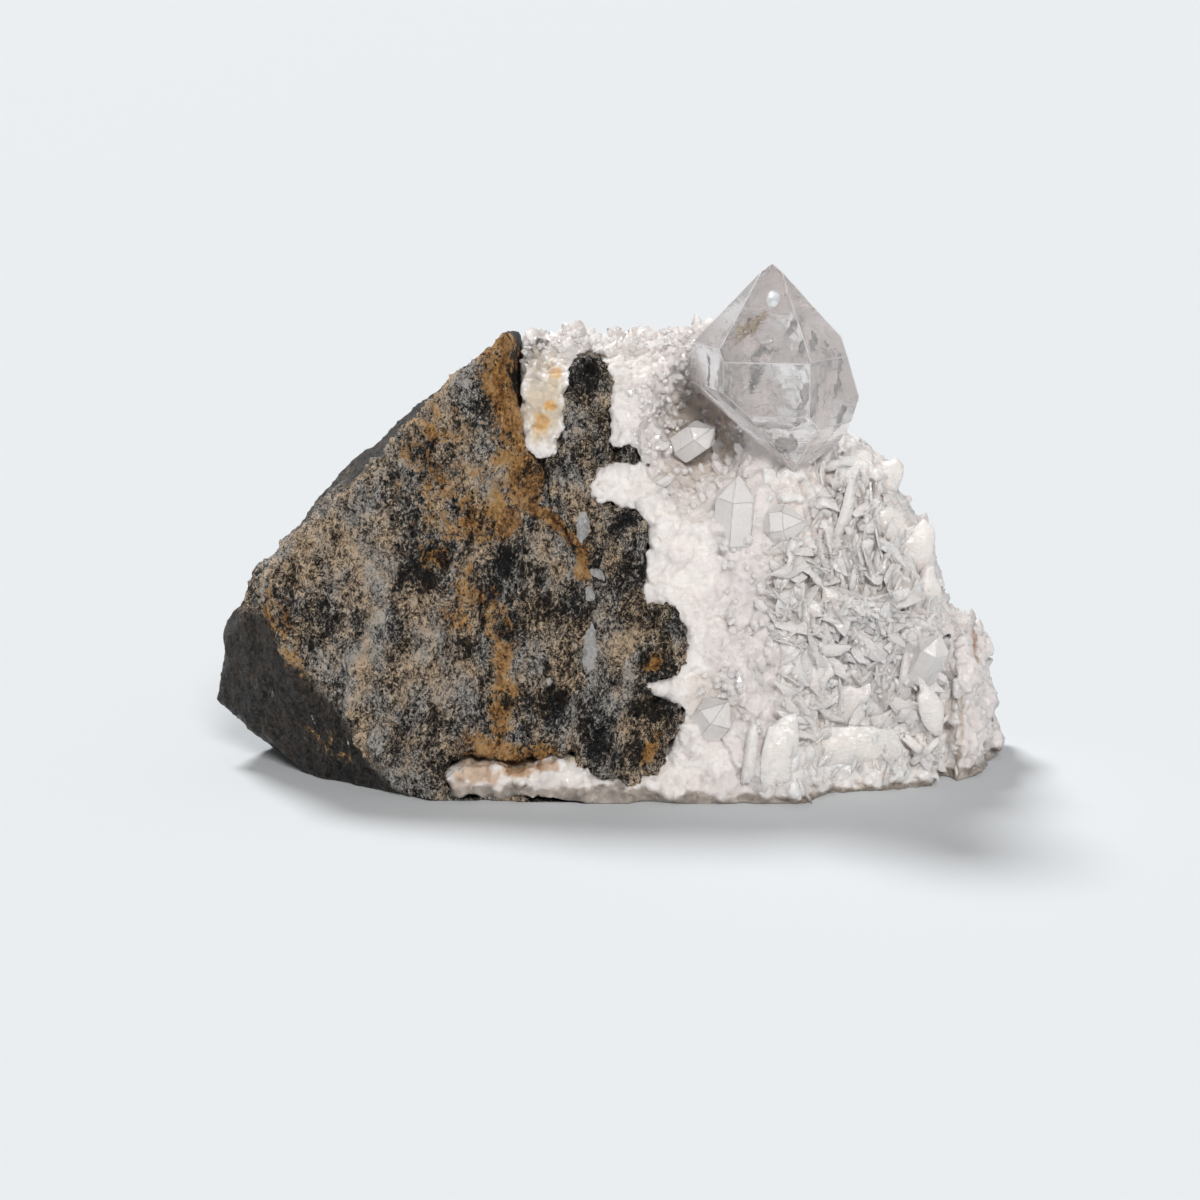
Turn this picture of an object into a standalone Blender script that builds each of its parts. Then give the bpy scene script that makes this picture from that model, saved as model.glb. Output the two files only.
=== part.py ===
"""Double-ended clear quartz crystal on a crust of white vein quartz, with the dark wall rock it grew on.

+Z is up, the show face looks along -Y, and the piece stands on its flat base at Z = 0.
Sizes in this file are millimetres, and metres() turns each finished mesh to metres.
"""

import math
import random

import bmesh
import bpy
from mathutils import Matrix, Vector, noise

MM = 0.001

# Driving dimensions of the whole specimen
FACE_Y = -20.0          # where the show face meets the base
FACE_LEAN = 0.27        # how far the show face leans back for each mm of height
CRUST_BACK = 8.0        # back of the quartz crust, against the wall rock
ROCK_BACK = 18.3        # back of the wall rock, 12 mm up
GAP = 0.3               # clearance between pieces that touch
PROUD = 0.7             # how far the crust stands out of the rock face beside it

# Wall rock: the voxel size, surface relief and triangle budget of the weathered solid
ROCK_VOXEL = 1.0
ROCK_RELIEF = 0.85
ROCK_TRIANGLES = 3500

# Quartz crust
CRUST_CELL = 1.7        # spacing of the relief grid
CRUST_LUMP = 0.45       # height of the lumps on its surface
CRUST_SHOULDER = 5.5    # how far in from its contour the surface starts to round off

# Facets of the rock: a point on each and its outward direction
ROCK_FACETS = (
    ((-10.0, -20.0, 0.0), (-0.05, -0.965, 0.26)),     # show face
    ((-34.6, -15.5, 16.6), (-0.76, -0.64, -0.12)),    # dark face on the left
    ((-20.0, -20.0, 0.0), (-0.60, -0.73, -0.30)),     # undercut below it
    ((-22.0, 5.0, 40.4), (-0.675, -0.14, 0.725)),     # long slope up to the tip
    ((-40.6, 2.0, 23.2), (-0.83, -0.18, 0.53)),       # slope below the notch
    ((-45.3, -1.0, 11.0), (-0.97, -0.12, 0.18)),      # blunt left end
    ((-42.3, -4.0, 5.2), (-0.62, -0.25, -0.74)),      # undercut of the left end
    ((-37.0, 8.0, 12.0), (-0.68, 0.72, 0.12)),        # back left
    ((0.0, ROCK_BACK, 12.0), (-0.06, 0.97, 0.20)),    # back
    ((-12.0, 6.0, 48.0), (-0.15, 0.62, 0.77)),        # back of the top
    ((-12.0, -4.0, 51.2), (0.10, -0.05, 1.0)),        # blunt tip
    ((16.0, 0.0, 20.0), (1.0, 0.0, 0.0)),             # hidden end, under the crust
)

# Facets of the wall rock that carries the crust from behind
SLAB_FACETS = (
    ((0.0, 6.0, 20.0), (0.0, -1.0, 0.0)),
    ((0.0, ROCK_BACK, 12.0), (0.03, 0.97, 0.20)),
    ((2.0, 12.0, 46.5), (0.02, 0.45, 0.89)),
    ((28.0, 11.0, 33.5), (0.70, 0.25, 0.67)),
    ((37.5, 11.0, 14.0), (0.93, 0.25, 0.26)),
    ((2.0, 8.0, 20.0), (-1.0, 0.0, 0.0)),
)

# Lobed edge of the crust where it meets the rock on the show face, as X and Z, from the top down
ROCK_EDGE = (
    (-9.6, 50.4), (-9.8, 44.0), (-9.2, 40.0), (-8.0, 37.6), (-6.2, 38.0), (-5.1, 41.0),
    (-5.0, 45.5), (-3.7, 48.4), (-1.2, 49.0), (0.7, 46.0), (0.9, 42.0), (0.8, 39.4), (2.7, 39.6),
    (5.3, 36.1), (0.5, 36.4), (-1.7, 35.4), (-2.0, 33.4), (1.6, 32.3), (4.0, 32.0), (5.5, 28.6),
    (4.2, 24.4), (4.2, 21.8), (7.4, 21.3), (9.5, 18.4), (8.0, 13.6), (3.9, 12.6), (8.5, 11.2),
    (8.8, 8.4), (6.3, 4.4), (2.6, 1.4), (-1.8, 2.4), (-4.2, 4.9), (-9.8, 3.9), (-15.4, 4.3),
    (-18.6, 2.6), (-16.5, 1.1), (-2.0, 0.6), (3.0, -6.0),
)

# Far corners that close the seat cut in the rock, beyond everything the crust holds
SEAT_CORNERS = ((60.0, -6.0), (60.0, 62.0), (-9.9, 62.0))

# Outer contour of the crust, as X and Z, from the base at the right up and round to the top left
CRUST_CONTOUR = (
    (45.6, -6.0), (45.8, 4.0), (45.3, 8.4), (45.0, 11.4), (44.0, 14.6), (42.4, 16.6), (40.2, 17.2),
    (39.4, 19.0), (38.8, 22.0), (38.0, 24.6), (36.0, 28.4), (34.0, 31.6), (32.6, 34.8), (30.0, 36.4),
    (22.6, 42.5), (17.8, 48.2), (13.2, 51.0), (9.8, 51.0), (6.0, 50.0), (-0.9, 50.6), (-4.4, 51.4),
    (-7.6, 50.2),
)

# Large plates in the crust: X and Z of the middle, depth in front of the crust, width, length,
# thickness, then turn about its length, lean towards the front and roll in the face, in degrees
PLATES = {
    "low upright plate": (19.2, 4.9, 1.0, 5.0, 9.4, 1.0, 8, -4, -3),
    "low wide plate": (26.6, 5.4, 1.2, 5.2, 12.6, 1.0, 4, 10, 88),
    "narrow lath": (15.9, 5.4, 0.8, 2.0, 7.6, 0.9, 40, 0, -6),
    "lens plate": (23.3, 12.6, 1.2, 3.2, 7.2, 0.8, 20, 5, -14),
    "lozenge plate": (27.4, 10.6, 1.6, 4.0, 7.8, 0.8, -14, 8, -42),
    "upper plate": (28.2, 32.8, 1.0, 4.6, 9.4, 0.9, 30, 6, 8),
    "top plate": (31.2, 31.8, 1.4, 3.4, 7.6, 0.8, -24, 10, -16),
    "shield plate": (32.4, 25.4, 1.6, 4.6, 6.6, 0.9, 16, 12, -38),
    "middle lath": (24.2, 21.8, 1.6, 2.4, 9.6, 0.8, 46, 8, 4),
    "right spear": (34.6, 12.4, 1.4, 2.0, 8.2, 0.8, 58, 6, 8),
    "right plate": (36.6, 14.6, 1.4, 3.4, 6.4, 0.8, -26, 6, 14),
    "edge plate": (36.4, 21.4, 1.6, 3.6, 6.8, 0.8, 22, 4, -20),
    "corner plate": (36.8, 6.6, 1.2, 3.6, 7.4, 0.8, 10, 4, 24),
}

# Fields of smaller blades: count, X range, Z range, length range, width range, in-face roll range
BLADE_FIELDS = {
    "upper fan": (22, (25.0, 36.0), (22.0, 34.5), (5.0, 8.0), (2.0, 3.4), (-45, 25)),
    "lace": (30, (19.0, 36.0), (9.0, 22.0), (3.6, 6.2), (1.8, 3.0), (-85, 85)),
    "foot": (10, (16.0, 37.0), (2.0, 7.0), (3.2, 5.2), (1.6, 2.8), (-35, 35)),
}
BLADE_THICKNESS = 0.8
BLADE_SEED = 11

# Clear crystals: centre, long axis, azimuth of the front face in degrees, width across the prism,
# then where each end's tip sits as X, Y and height over the centre, and the slope of its six faces
CRYSTALS = {
    "herkimer_crystal": (
        (18.9, -8.0, 47.2), (0.0, 0.0, 1.0), -10, 16.7, (-0.5, 0.0, 12.0, 39.2), (2.3, 0.0, 12.0, 45.3)
    ),
    "side_crystal": (
        (14.2, -12.2, 30.8), (0.06, -0.16, 1.0), 20, 4.3, (0.1, 0.0, 5.3, 40.0), (-0.1, 0.1, 5.0, 40.0)
    ),
    "pocket_crystal": (
        (9.6, -5.0, 38.6), (0.70, -0.45, 0.55), 10, 3.4, (0.2, 0.0, 3.4, 41.0), (0.0, 0.0, 3.6, 40.0)
    ),
    "bead_crystal": (
        (19.4, -12.0, 30.3), (0.92, -0.30, 0.16), 25, 3.9, (0.1, 0.1, 3.1, 41.0), (0.0, 0.0, 3.0, 40.0)
    ),
    "low_crystal": (
        (11.6, -17.6, 9.0), (0.45, -0.50, 0.74), 15, 4.2, (0.2, -0.1, 3.7, 41.0), (0.0, 0.0, 3.8, 40.0)
    ),
    "end_crystal": (
        (36.2, -10.6, 14.0), (0.30, -0.45, 0.84), 40, 3.2, (0.1, 0.1, 4.3, 40.0), (0.0, 0.0, 4.0, 40.0)
    ),
}
# Steep faces that trim the large crystal's right corner: a point on each and its outward direction
STEEP_FACES = (
    ((8.4, 0.0, 0.1), (0.955, 0.0, 0.297)),
    ((8.5, 0.0, -5.1), (0.936, 0.0, -0.35)),
)

# Colours
DARK_ROCK = (0.105, 0.095, 0.085)
WHITE_QUARTZ = (0.72, 0.68, 0.65)
CLEAR_QUARTZ = (0.93, 0.91, 0.90)


def clear_scene():
    for obj in list(bpy.data.objects):
        bpy.data.objects.remove(obj, do_unlink=True)


def new_collection(name, hidden=False):
    collection = bpy.data.collections.new(name)
    bpy.context.scene.collection.children.link(collection)
    collection.hide_render = hidden
    return collection


def new_material(name, colour, roughness, transmission=0.0):
    material = bpy.data.materials.new(name)
    material.use_nodes = True
    shader = material.node_tree.nodes["Principled BSDF"]
    shader.inputs["Base Color"].default_value = (*colour, 1.0)
    shader.inputs["Roughness"].default_value = roughness
    shader.inputs["Metallic"].default_value = 0.0
    shader.inputs["Transmission Weight"].default_value = transmission
    shader.inputs["IOR"].default_value = 1.54
    material.diffuse_color = (*colour, 1.0)
    return material


def object_from(bm, name, collection):
    """A new object that holds the bmesh, with its normals facing out."""
    bmesh.ops.recalc_face_normals(bm, faces=bm.faces)
    mesh = bpy.data.meshes.new(name)
    bm.to_mesh(mesh)
    bm.free()
    obj = bpy.data.objects.new(name, mesh)
    collection.objects.link(obj)
    return obj


def apply_modifiers(obj):
    """Puts the evaluated shape of the object in its mesh and clears its modifiers."""
    graph = bpy.context.evaluated_depsgraph_get()
    made = bpy.data.meshes.new_from_object(obj.evaluated_get(graph))
    obj.modifiers.clear()
    obj.data = made


def combine(obj, tool, operation, solver="EXACT"):
    """Cuts, joins or intersects the object with the tool, an object or a collection."""
    modifier = obj.modifiers.new(operation.lower(), "BOOLEAN")
    modifier.operation = operation
    modifier.solver = solver
    if isinstance(tool, bpy.types.Collection):
        modifier.operand_type = "COLLECTION"
        modifier.collection = tool
    else:
        modifier.object = tool
    apply_modifiers(obj)


def cut_flat(bm, point, outward):
    """Cuts away what lies outside the plane and closes the cut with a flat face."""
    cut = bmesh.ops.bisect_plane(
        bm,
        geom=[*bm.verts, *bm.edges, *bm.faces],
        plane_co=Vector(point),
        plane_no=Vector(outward).normalized(),
        clear_outer=True,
        dist=1e-5,
    )["geom_cut"]
    edges = [e for e in cut if isinstance(e, bmesh.types.BMEdge) and e.is_boundary]
    if edges:
        bmesh.ops.edgenet_fill(bm, edges=edges)


def faceted_block(facets, size=160.0):
    """A block broken to shape along each facet's plane."""
    bm = bmesh.new()
    bmesh.ops.create_cube(bm, size=size)
    for point, outward in facets:
        cut_flat(bm, point, outward)
    return bm


def flatten_base(obj):
    """Cuts the object flat at Z = 0, the face that it stands on."""
    bm = bmesh.new()
    bm.from_mesh(obj.data)
    cut_flat(bm, (0, 0, 0), (0, 0, -1))
    for vert in bm.verts:
        if abs(vert.co.z) < 1e-3:
            vert.co.z = 0.0
    bmesh.ops.recalc_face_normals(bm, faces=bm.faces)
    bm.to_mesh(obj.data)
    bm.free()


def keep_largest_body(obj):
    """Drops the crumbs that a cut leaves beside the main body."""
    bm = bmesh.new()
    bm.from_mesh(obj.data)
    left = set(bm.verts)
    bodies = []
    while left:
        body = set()
        reach = [left.pop()]
        while reach:
            vert = reach.pop()
            body.add(vert)
            near = {edge.other_vert(vert) for edge in vert.link_edges} & left
            left -= near
            reach.extend(near)
        bodies.append(body)
    bodies.sort(key=len)
    crumbs = [vert for body in bodies[:-1] for vert in body]
    bmesh.ops.delete(bm, geom=crumbs, context="VERTS")
    bm.to_mesh(obj.data)
    bm.free()


def smooth_step(value):
    value = min(1.0, max(0.0, value))
    return value * value * (3 - 2 * value)


def distance_to_line(x, z, line):
    """The shortest distance from a point to a line of straight stretches."""
    best = 1e9
    for (x0, z0), (x1, z1) in zip(line, line[1:]):
        dx, dz = x1 - x0, z1 - z0
        share = ((x - x0) * dx + (z - z0) * dz) / (dx * dx + dz * dz)
        share = min(1.0, max(0.0, share))
        best = min(best, math.hypot(x - x0 - share * dx, z - z0 - share * dz))
    return best


def bump(x, z, centre, radii):
    """1 at the centre of an ellipse and 0 at its rim, with a soft slope between."""
    away = math.hypot((x - centre[0]) / radii[0], (z - centre[1]) / radii[1])
    return smooth_step((1 - away) * 1.2)


def rock_relief(point):
    """Foliation ridges that run up the rock, broken by pits and ledges."""
    along = Vector((point.x * 0.34, point.y * 0.16, point.z * 0.07))
    coarse = noise.fractal(along, 0.9, 2.1, 3)
    lumps = noise.noise(point * 0.11)
    ledge = math.floor(2.5 * noise.noise(point * 0.07 + Vector((5, 2, 8)))) / 2.5
    return ROCK_RELIEF * (0.7 * coarse + 0.6 * lumps + 0.6 * ledge)


def weather(obj):
    """Gives the broken block its rough, foliated surface within the triangle budget."""
    remesh = obj.modifiers.new("even mesh", "REMESH")
    remesh.mode = "VOXEL"
    remesh.voxel_size = ROCK_VOXEL
    apply_modifiers(obj)
    bm = bmesh.new()
    bm.from_mesh(obj.data)
    bm.normal_update()
    moves = [(v, v.normal * rock_relief(v.co)) for v in bm.verts]
    for vert, move in moves:
        vert.co += move
    bmesh.ops.triangulate(bm, faces=bm.faces)
    triangles = len(bm.faces)
    bm.to_mesh(obj.data)
    bm.free()
    decimate = obj.modifiers.new("budget", "DECIMATE")
    decimate.ratio = ROCK_TRIANGLES / triangles
    apply_modifiers(obj)


def crust_depth(x, z):
    """Y of the crust's front at a place on the show face."""
    depth = FACE_Y + FACE_LEAN * z - PROUD
    depth += 5.0 * smooth_step((x - 20.5) / 6) + 0.22 * max(0.0, x - 27.0)
    pocket = 12.5 * bump(x, z, (10.8, 40.5), (8.0, 10.0)) * (1 - smooth_step((x - 15.6) / 1.8))
    seat = 7.0 * bump(x, z, (20.0, 46.0), (14.5, 15.5))
    depth += max(pocket, seat)
    away = math.hypot((x - 10.8) / 8.2, (z - 40.5) / 10.2)
    depth -= 1.1 * math.exp(-(((away - 1) / 0.16) ** 2)) * smooth_step((44 - z) / 6)
    depth += 1.6 * bump(x, z, (29.0, 13.0), (10.0, 9.0))
    crevice = math.exp(-(((x - 38.8) / 1.3) ** 2)) * smooth_step((19.0 - z) / 4)
    end_wall = smooth_step((x - 39.4) / 1.4) * smooth_step((18.5 - z) / 3)
    depth += 5.0 * crevice * (1 - end_wall)
    depth += end_wall * (-10.0 + 0.2 * z - depth)
    lump = noise.fractal(Vector((x, 3.0, z)) * 0.28, 1.0, 2.0, 3)
    depth -= CRUST_LUMP * 2 * lump
    edge = min(1.0, distance_to_line(x, z, CRUST_CONTOUR) / CRUST_SHOULDER)
    round_off = 1 - math.sqrt(max(0.0, 1 - (1 - edge) ** 2))
    deepest = CRUST_BACK - 2.5
    return min(deepest, depth + round_off * (deepest - depth))


def outline_solid(name, points, front, back, grow, collection):
    """A flat outline in X and Z, stood up and extruded from front to back, grown outwards."""
    bm = bmesh.new()
    verts = [bm.verts.new((x, 0, z)) for x, z in points]
    face = bm.faces.new(verts)
    bm.normal_update()
    if grow:
        area = sum(a.co.x * b.co.z - b.co.x * a.co.z for a, b in zip(verts, verts[1:] + verts[:1]))
        side = 1 if area > 0 else -1
        moved = []
        for i, vert in enumerate(verts):
            before = (vert.co - verts[i - 1].co).normalized()
            after = (verts[(i + 1) % len(verts)].co - vert.co).normalized()
            outs = [Vector((d.z, 0, -d.x)) * side for d in (before, after)]
            middle = outs[0] + outs[1]
            middle /= max(0.8, middle.length_squared / 2)
            moved.append(vert.co + middle * grow)
        for vert, place in zip(verts, moved):
            vert.co = place
    bmesh.ops.translate(bm, verts=verts, vec=(0, front, 0))
    rim = bmesh.ops.extrude_face_region(bm, geom=[face])["geom"]
    far = [v for v in rim if isinstance(v, bmesh.types.BMVert)]
    bmesh.ops.translate(bm, verts=far, vec=(0, back - front, 0))
    return object_from(bm, name, collection)


def crust_relief(collection):
    """The crust's front as a relief grid, closed by a flat back."""
    low, high = Vector((-22.0, 0, -3.0)), Vector((50.0, 0, 55.0))
    columns = round((high.x - low.x) / CRUST_CELL)
    rows = round((high.z - low.z) / CRUST_CELL)
    bm = bmesh.new()
    bmesh.ops.create_grid(bm, x_segments=columns, y_segments=rows, size=0.5)
    for vert in bm.verts:
        x = low.x + (vert.co.x + 0.5) * (high.x - low.x)
        z = low.z + (vert.co.y + 0.5) * (high.z - low.z)
        vert.co = Vector((x, crust_depth(x, z), z))
    rim = [e for e in bm.edges if e.is_boundary]
    wall = bmesh.ops.extrude_edge_only(bm, edges=rim)["geom"]
    for vert in (v for v in wall if isinstance(v, bmesh.types.BMVert)):
        vert.co.y = CRUST_BACK + 6.0
    back = [e for e in wall if isinstance(e, bmesh.types.BMEdge) and e.is_boundary]
    bmesh.ops.edgenet_fill(bm, edges=back)
    bmesh.ops.triangulate(bm, faces=[f for f in bm.faces if len(f.verts) == 4])
    return object_from(bm, "crust_relief", collection)


def blade(name, width, length, thickness, sides, random_source, collection):
    """One flat plate of quartz with an uneven rim, standing on its lower end."""
    bm = bmesh.new()
    bmesh.ops.create_circle(bm, cap_ends=True, segments=sides, radius=1.0)
    for vert in bm.verts:
        reach = random_source.uniform(0.86, 1.08)
        vert.co = Vector((vert.co.x * width / 2 * reach, 0, vert.co.y * length / 2 * reach))
    near = list(bm.verts)
    bmesh.ops.translate(bm, verts=near, vec=(0, -thickness / 2, 0))
    rim = bmesh.ops.extrude_face_region(bm, geom=list(bm.faces))["geom"]
    far = [v for v in rim if isinstance(v, bmesh.types.BMVert)]
    bmesh.ops.translate(bm, verts=far, vec=(0, thickness, 0))
    return object_from(bm, name, collection)


def stand(obj, place, turn, lean, roll):
    """Turns a plate about its length, leans it to the front, rolls it in the face and places it."""
    spin = Matrix.Rotation(math.radians(turn), 4, "Z")
    tip = Matrix.Rotation(math.radians(lean), 4, "X")
    swing = Matrix.Rotation(math.radians(-roll), 4, "Y")
    obj.data.transform(Matrix.Translation(place) @ swing @ tip @ spin)


def grow_plates(collection):
    """The large plates, each at its own place on the crust."""
    source = random.Random(BLADE_SEED)
    for name, values in PLATES.items():
        x, z, ahead, width, length, thickness, turn, lean, roll = values
        obj = blade(name, width, length, thickness, 8, source, collection)
        stand(obj, (x, crust_depth(x, z) - ahead, z), turn, lean, roll)


def grow_blades(collection):
    """The fields of small blades that fill the hollow right of the large crystal."""
    source = random.Random(BLADE_SEED + 1)
    for name, (count, across, up, lengths, widths, rolls) in BLADE_FIELDS.items():
        for index in range(count):
            x = source.uniform(*across)
            z = source.uniform(*up)
            length = source.uniform(*lengths)
            obj = blade(
                f"{name} {index}", source.uniform(*widths), length, BLADE_THICKNESS, 6, source, collection
            )
            turn = source.uniform(-70, 70)
            lean = source.uniform(-25, 50)
            stand(obj, (x, crust_depth(x, z) - 0.10 * length, z), turn, lean, source.uniform(*rolls))


def quartz_crystal(name, grow, collection):
    """A six-sided quartz prism with six slanted faces at each end, cut face by face."""
    centre, axis, front, width, top, bottom = CRYSTALS[name]
    bm = bmesh.new()
    bmesh.ops.create_cube(bm, size=6 * top[2])
    for side in range(6):
        angle = math.radians(front + 60 * side)
        out = Vector((math.sin(angle), -math.cos(angle), 0))
        cut_flat(bm, out * (width / 2 + grow), out)
        for (x, y, height, slope), end in ((top, 1), (bottom, -1)):
            facing = out * math.cos(math.radians(slope)) + Vector((0, 0, end * math.sin(math.radians(slope))))
            large = (side % 2 == 0) == (end > 0)
            inset = 0.0 if large else 0.03 * width
            cut_flat(bm, Vector((x, y, end * height)) + facing * (grow + inset), facing)
    if name == "herkimer_crystal":
        for point, outward in STEEP_FACES:
            facing = Vector(outward).normalized()
            cut_flat(bm, Vector(point) + facing * grow, facing)
    bmesh.ops.triangulate(bm, faces=bm.faces)
    obj = object_from(bm, name + " seat" if grow else name, collection)
    obj.location = centre
    obj.rotation_euler = Vector((0, 0, 1)).rotation_difference(Vector(axis)).to_euler()
    return obj


def build_rock(parts, tools):
    """The dark wall rock: the mass on the left joined to the slab behind the crust."""
    rock = object_from(faceted_block(ROCK_FACETS), "host_rock", parts)
    slab = object_from(faceted_block(SLAB_FACETS), "slab", tools)
    combine(rock, slab, "UNION")
    bm = bmesh.new()
    bm.from_mesh(rock.data)
    cut_flat(bm, (0, 0, -2.0), (0, 0, -1))
    bm.to_mesh(rock.data)
    bm.free()
    weather(rock)
    outline = ROCK_EDGE + SEAT_CORNERS
    seat = outline_solid("crust seat", outline, -60.0, CRUST_BACK + GAP, GAP, tools)
    combine(rock, seat, "DIFFERENCE", "MANIFOLD")
    flatten_base(rock)
    keep_largest_body(rock)
    return rock


def build_crust(parts, tools):
    """The white quartz crust with its plates and blades, cut back to seat the clear crystals."""
    crust = crust_relief(parts)
    crust.name = "quartz_crust"
    mould = outline_solid("crust mould", ROCK_EDGE + CRUST_CONTOUR, -60.0, CRUST_BACK, 0.0, tools)
    combine(crust, mould, "INTERSECT")
    blades = new_collection("blades", hidden=True)
    grow_plates(blades)
    grow_blades(blades)
    combine(crust, blades, "UNION")
    for name in CRYSTALS:
        combine(crust, quartz_crystal(name, GAP, tools), "DIFFERENCE")
    flatten_base(crust)
    keep_largest_body(crust)
    return crust


def metres(obj):
    """Turns a finished piece from millimetres to metres and shades it flat."""
    obj.data.transform(Matrix.Scale(MM, 4))
    obj.location *= MM
    obj.data.shade_flat()


def main():
    clear_scene()
    parts = new_collection("herkimer diamond on matrix")
    tools = new_collection("cutters", hidden=True)
    dark = new_material("dark wall rock", DARK_ROCK, 0.7)
    white = new_material("white vein quartz", WHITE_QUARTZ, 0.5)
    clear = new_material("clear quartz", CLEAR_QUARTZ, 0.03, 1.0)
    finished = [(build_rock(parts, tools), dark), (build_crust(parts, tools), white)]
    for name in CRYSTALS:
        finished.append((quartz_crystal(name, 0.0, parts), clear))
    for obj, material in finished:
        metres(obj)
        obj.data.materials.clear()
        obj.data.materials.append(material)
    for tool in list(bpy.data.objects):
        if tool.name not in parts.objects:
            tool.hide_render = True
            tool.display_type = "WIRE"


main()
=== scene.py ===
"""A clear double-ended quartz crystal on a crust of white vein quartz and dark foliated wall rock.

+Z is up and the show face looks along -Y. Shapes are worked out in millimetres and put in the
frame's metres at the end.
"""

import math
import random

import bmesh
import bpy
from mathutils import Matrix, Vector, noise
from mathutils.bvhtree import BVHTree


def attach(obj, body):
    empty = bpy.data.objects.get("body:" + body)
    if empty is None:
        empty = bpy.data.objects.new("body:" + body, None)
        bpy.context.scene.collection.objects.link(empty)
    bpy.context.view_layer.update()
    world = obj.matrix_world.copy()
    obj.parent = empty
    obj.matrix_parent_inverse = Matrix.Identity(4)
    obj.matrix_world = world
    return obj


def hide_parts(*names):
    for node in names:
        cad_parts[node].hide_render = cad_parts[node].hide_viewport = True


bl_info = {
    "name": "Quartz crystal on matrix",
    "version": (1, 0, 0),
    "blender": (4, 5, 0),
    "location": "View3D > Sidebar > Specimen",
    "description": "Builds a clear quartz crystal on white vein quartz and dark wall rock",
    "category": "Add Mesh",
}

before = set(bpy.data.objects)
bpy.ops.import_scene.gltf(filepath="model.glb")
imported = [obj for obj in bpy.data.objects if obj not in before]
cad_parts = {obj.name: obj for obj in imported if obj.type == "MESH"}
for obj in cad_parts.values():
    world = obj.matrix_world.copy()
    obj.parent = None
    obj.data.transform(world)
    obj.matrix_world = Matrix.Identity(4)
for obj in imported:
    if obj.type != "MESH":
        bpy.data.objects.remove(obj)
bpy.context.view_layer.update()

MM = 0.001
MM_PER_METRE = 1000

# The show face and the crust, as the solids have them
FACE_Y = -20.0
FACE_LEAN = 0.27
CRUST_BACK = 8.0
PROUD = 0.7
ROCK_RELIEF = 0.85
CRUST_LUMP = 0.45
CRUST_SHOULDER = 5.5
POCKET_X, POCKET_Z = 10.8, 40.5

# Sown patterns, so that each run grows the same piece
NOISE_SEED = 5
BLADE_SEED = 11
DRUSE_SEED = 5
VEIL_SEED = 3

# Bending of light in quartz and in its healed cracks, how far red, green and blue light spread in
# milky quartz, and what clear quartz takes up on the way, as a colour and a strength per metre
QUARTZ_IOR = 1.544
CRACK_IOR = 1.9
MILKY_SPREAD = (1.3, 1.15, 1.1)
DEPTH_TINT = (0.80, 0.74, 0.73, 1)
DEPTH_TINT_STRENGTH = 14.0

# Inside the large crystal: a point in its middle, the share of the way to its faces that cracks
# reach, and X and Z of the pale pane laid on its face as a painted highlight
CRYSTAL_MIDDLE = (18.8, -8.0, 46.0)
CRACK_REACH = 0.94
HIGHLIGHT_PANE_PLACE = (18.4, 55.6)

# Kinds of healed crack and of painted highlight: material, colour, how clear it is and how much it mirrors
CRACK_KINDS = {
    "clear": ("healed crack sheet", (1.0, 0.99, 0.98), 0.86, 0.0),
    "pale": ("milky sheet", (1.0, 0.97, 0.95), 0.35, 0.0),
    "brown": ("brown sheet", (0.80, 0.62, 0.40), 0.3, 0.0),
    "mirror": ("mirror crack", (1.0, 0.99, 0.98), 0.0, 0.9),
    # a pale pane on the crystal's face, a painted highlight
    "painted highlight": ("clear window", (0.90, 0.95, 0.98), 0.3, 0.0),
}

# A ray that looks at the crust from in front starts at this Y and runs this way
IN_FRONT = -60.0
TO_THE_BACK = Vector((0, 1, 0))

# Grids of the crust's front and of the blades' bed: spacing, then the lowest and highest X and Z
CRUST_GRID = (0.75, (-22, -3), (50, 55))
BED_GRID = (0.5, (16, -3), (42, 41))

# Largest bend of a blade
BLADE_CURL = 0.3

SMALL_CRYSTALS = ("side_crystal", "pocket_crystal", "bead_crystal", "low_crystal", "end_crystal")

# Soft lights: azimuth from the front, height above the floor, power, softness in degrees and colour
STUDIO_LIGHTS = {
    "back light": (-148, 53, 2.6, 16, (1.0, 0.99, 0.98)),
    "front light": (8, 31, 2.2, 18, (1.0, 0.965, 0.935)),
}
CAMERA_TARGET = (-0.000875, 0.0, 0.019)

# Lobed edge of the crust where it meets the rock on the show face, as X and Z, from the top down
ROCK_EDGE = (
    (-9.0, 49.4), (-9.4, 44.0), (-9.0, 40.0), (-8.0, 37.6), (-6.2, 38.0), (-5.1, 41.0),
    (-5.0, 45.5), (-3.7, 48.4), (-1.2, 49.0), (0.7, 46.0), (0.9, 42.0), (0.8, 39.4), (2.7, 39.6),
    (5.3, 36.1), (0.5, 36.4), (-1.7, 35.4), (-2.0, 33.4), (1.6, 32.3), (4.0, 32.0), (5.5, 28.6),
    (4.2, 24.4), (4.2, 21.8), (7.4, 21.3), (9.5, 18.4), (8.0, 13.6), (3.9, 12.6), (8.5, 11.2),
    (8.8, 8.4), (6.3, 4.4), (2.6, 1.4), (-1.8, 2.4), (-4.2, 4.5), (-9.8, 3.4), (-15.4, 3.8),
    (-18.2, 2.4), (-16.5, 1.1), (-2.0, 0.6), (3.0, -6.0),
)

# Outer contour of the crust, as X and Z, from the base at the right up and round to the top left
CRUST_CONTOUR = (
    (45.6, -6.0), (45.8, 4.0), (45.3, 8.4), (45.0, 11.4), (44.0, 14.6), (42.4, 16.6), (40.2, 17.2),
    (39.4, 19.0), (38.8, 22.0), (38.0, 24.6), (36.0, 28.4), (34.0, 31.6), (32.6, 34.8), (30.0, 36.4),
    (22.6, 42.5), (17.8, 48.2), (13.2, 51.0), (9.8, 50.6), (6.0, 49.6), (-0.9, 49.6), (-4.4, 49.9),
    (-7.6, 48.9),
)

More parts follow.
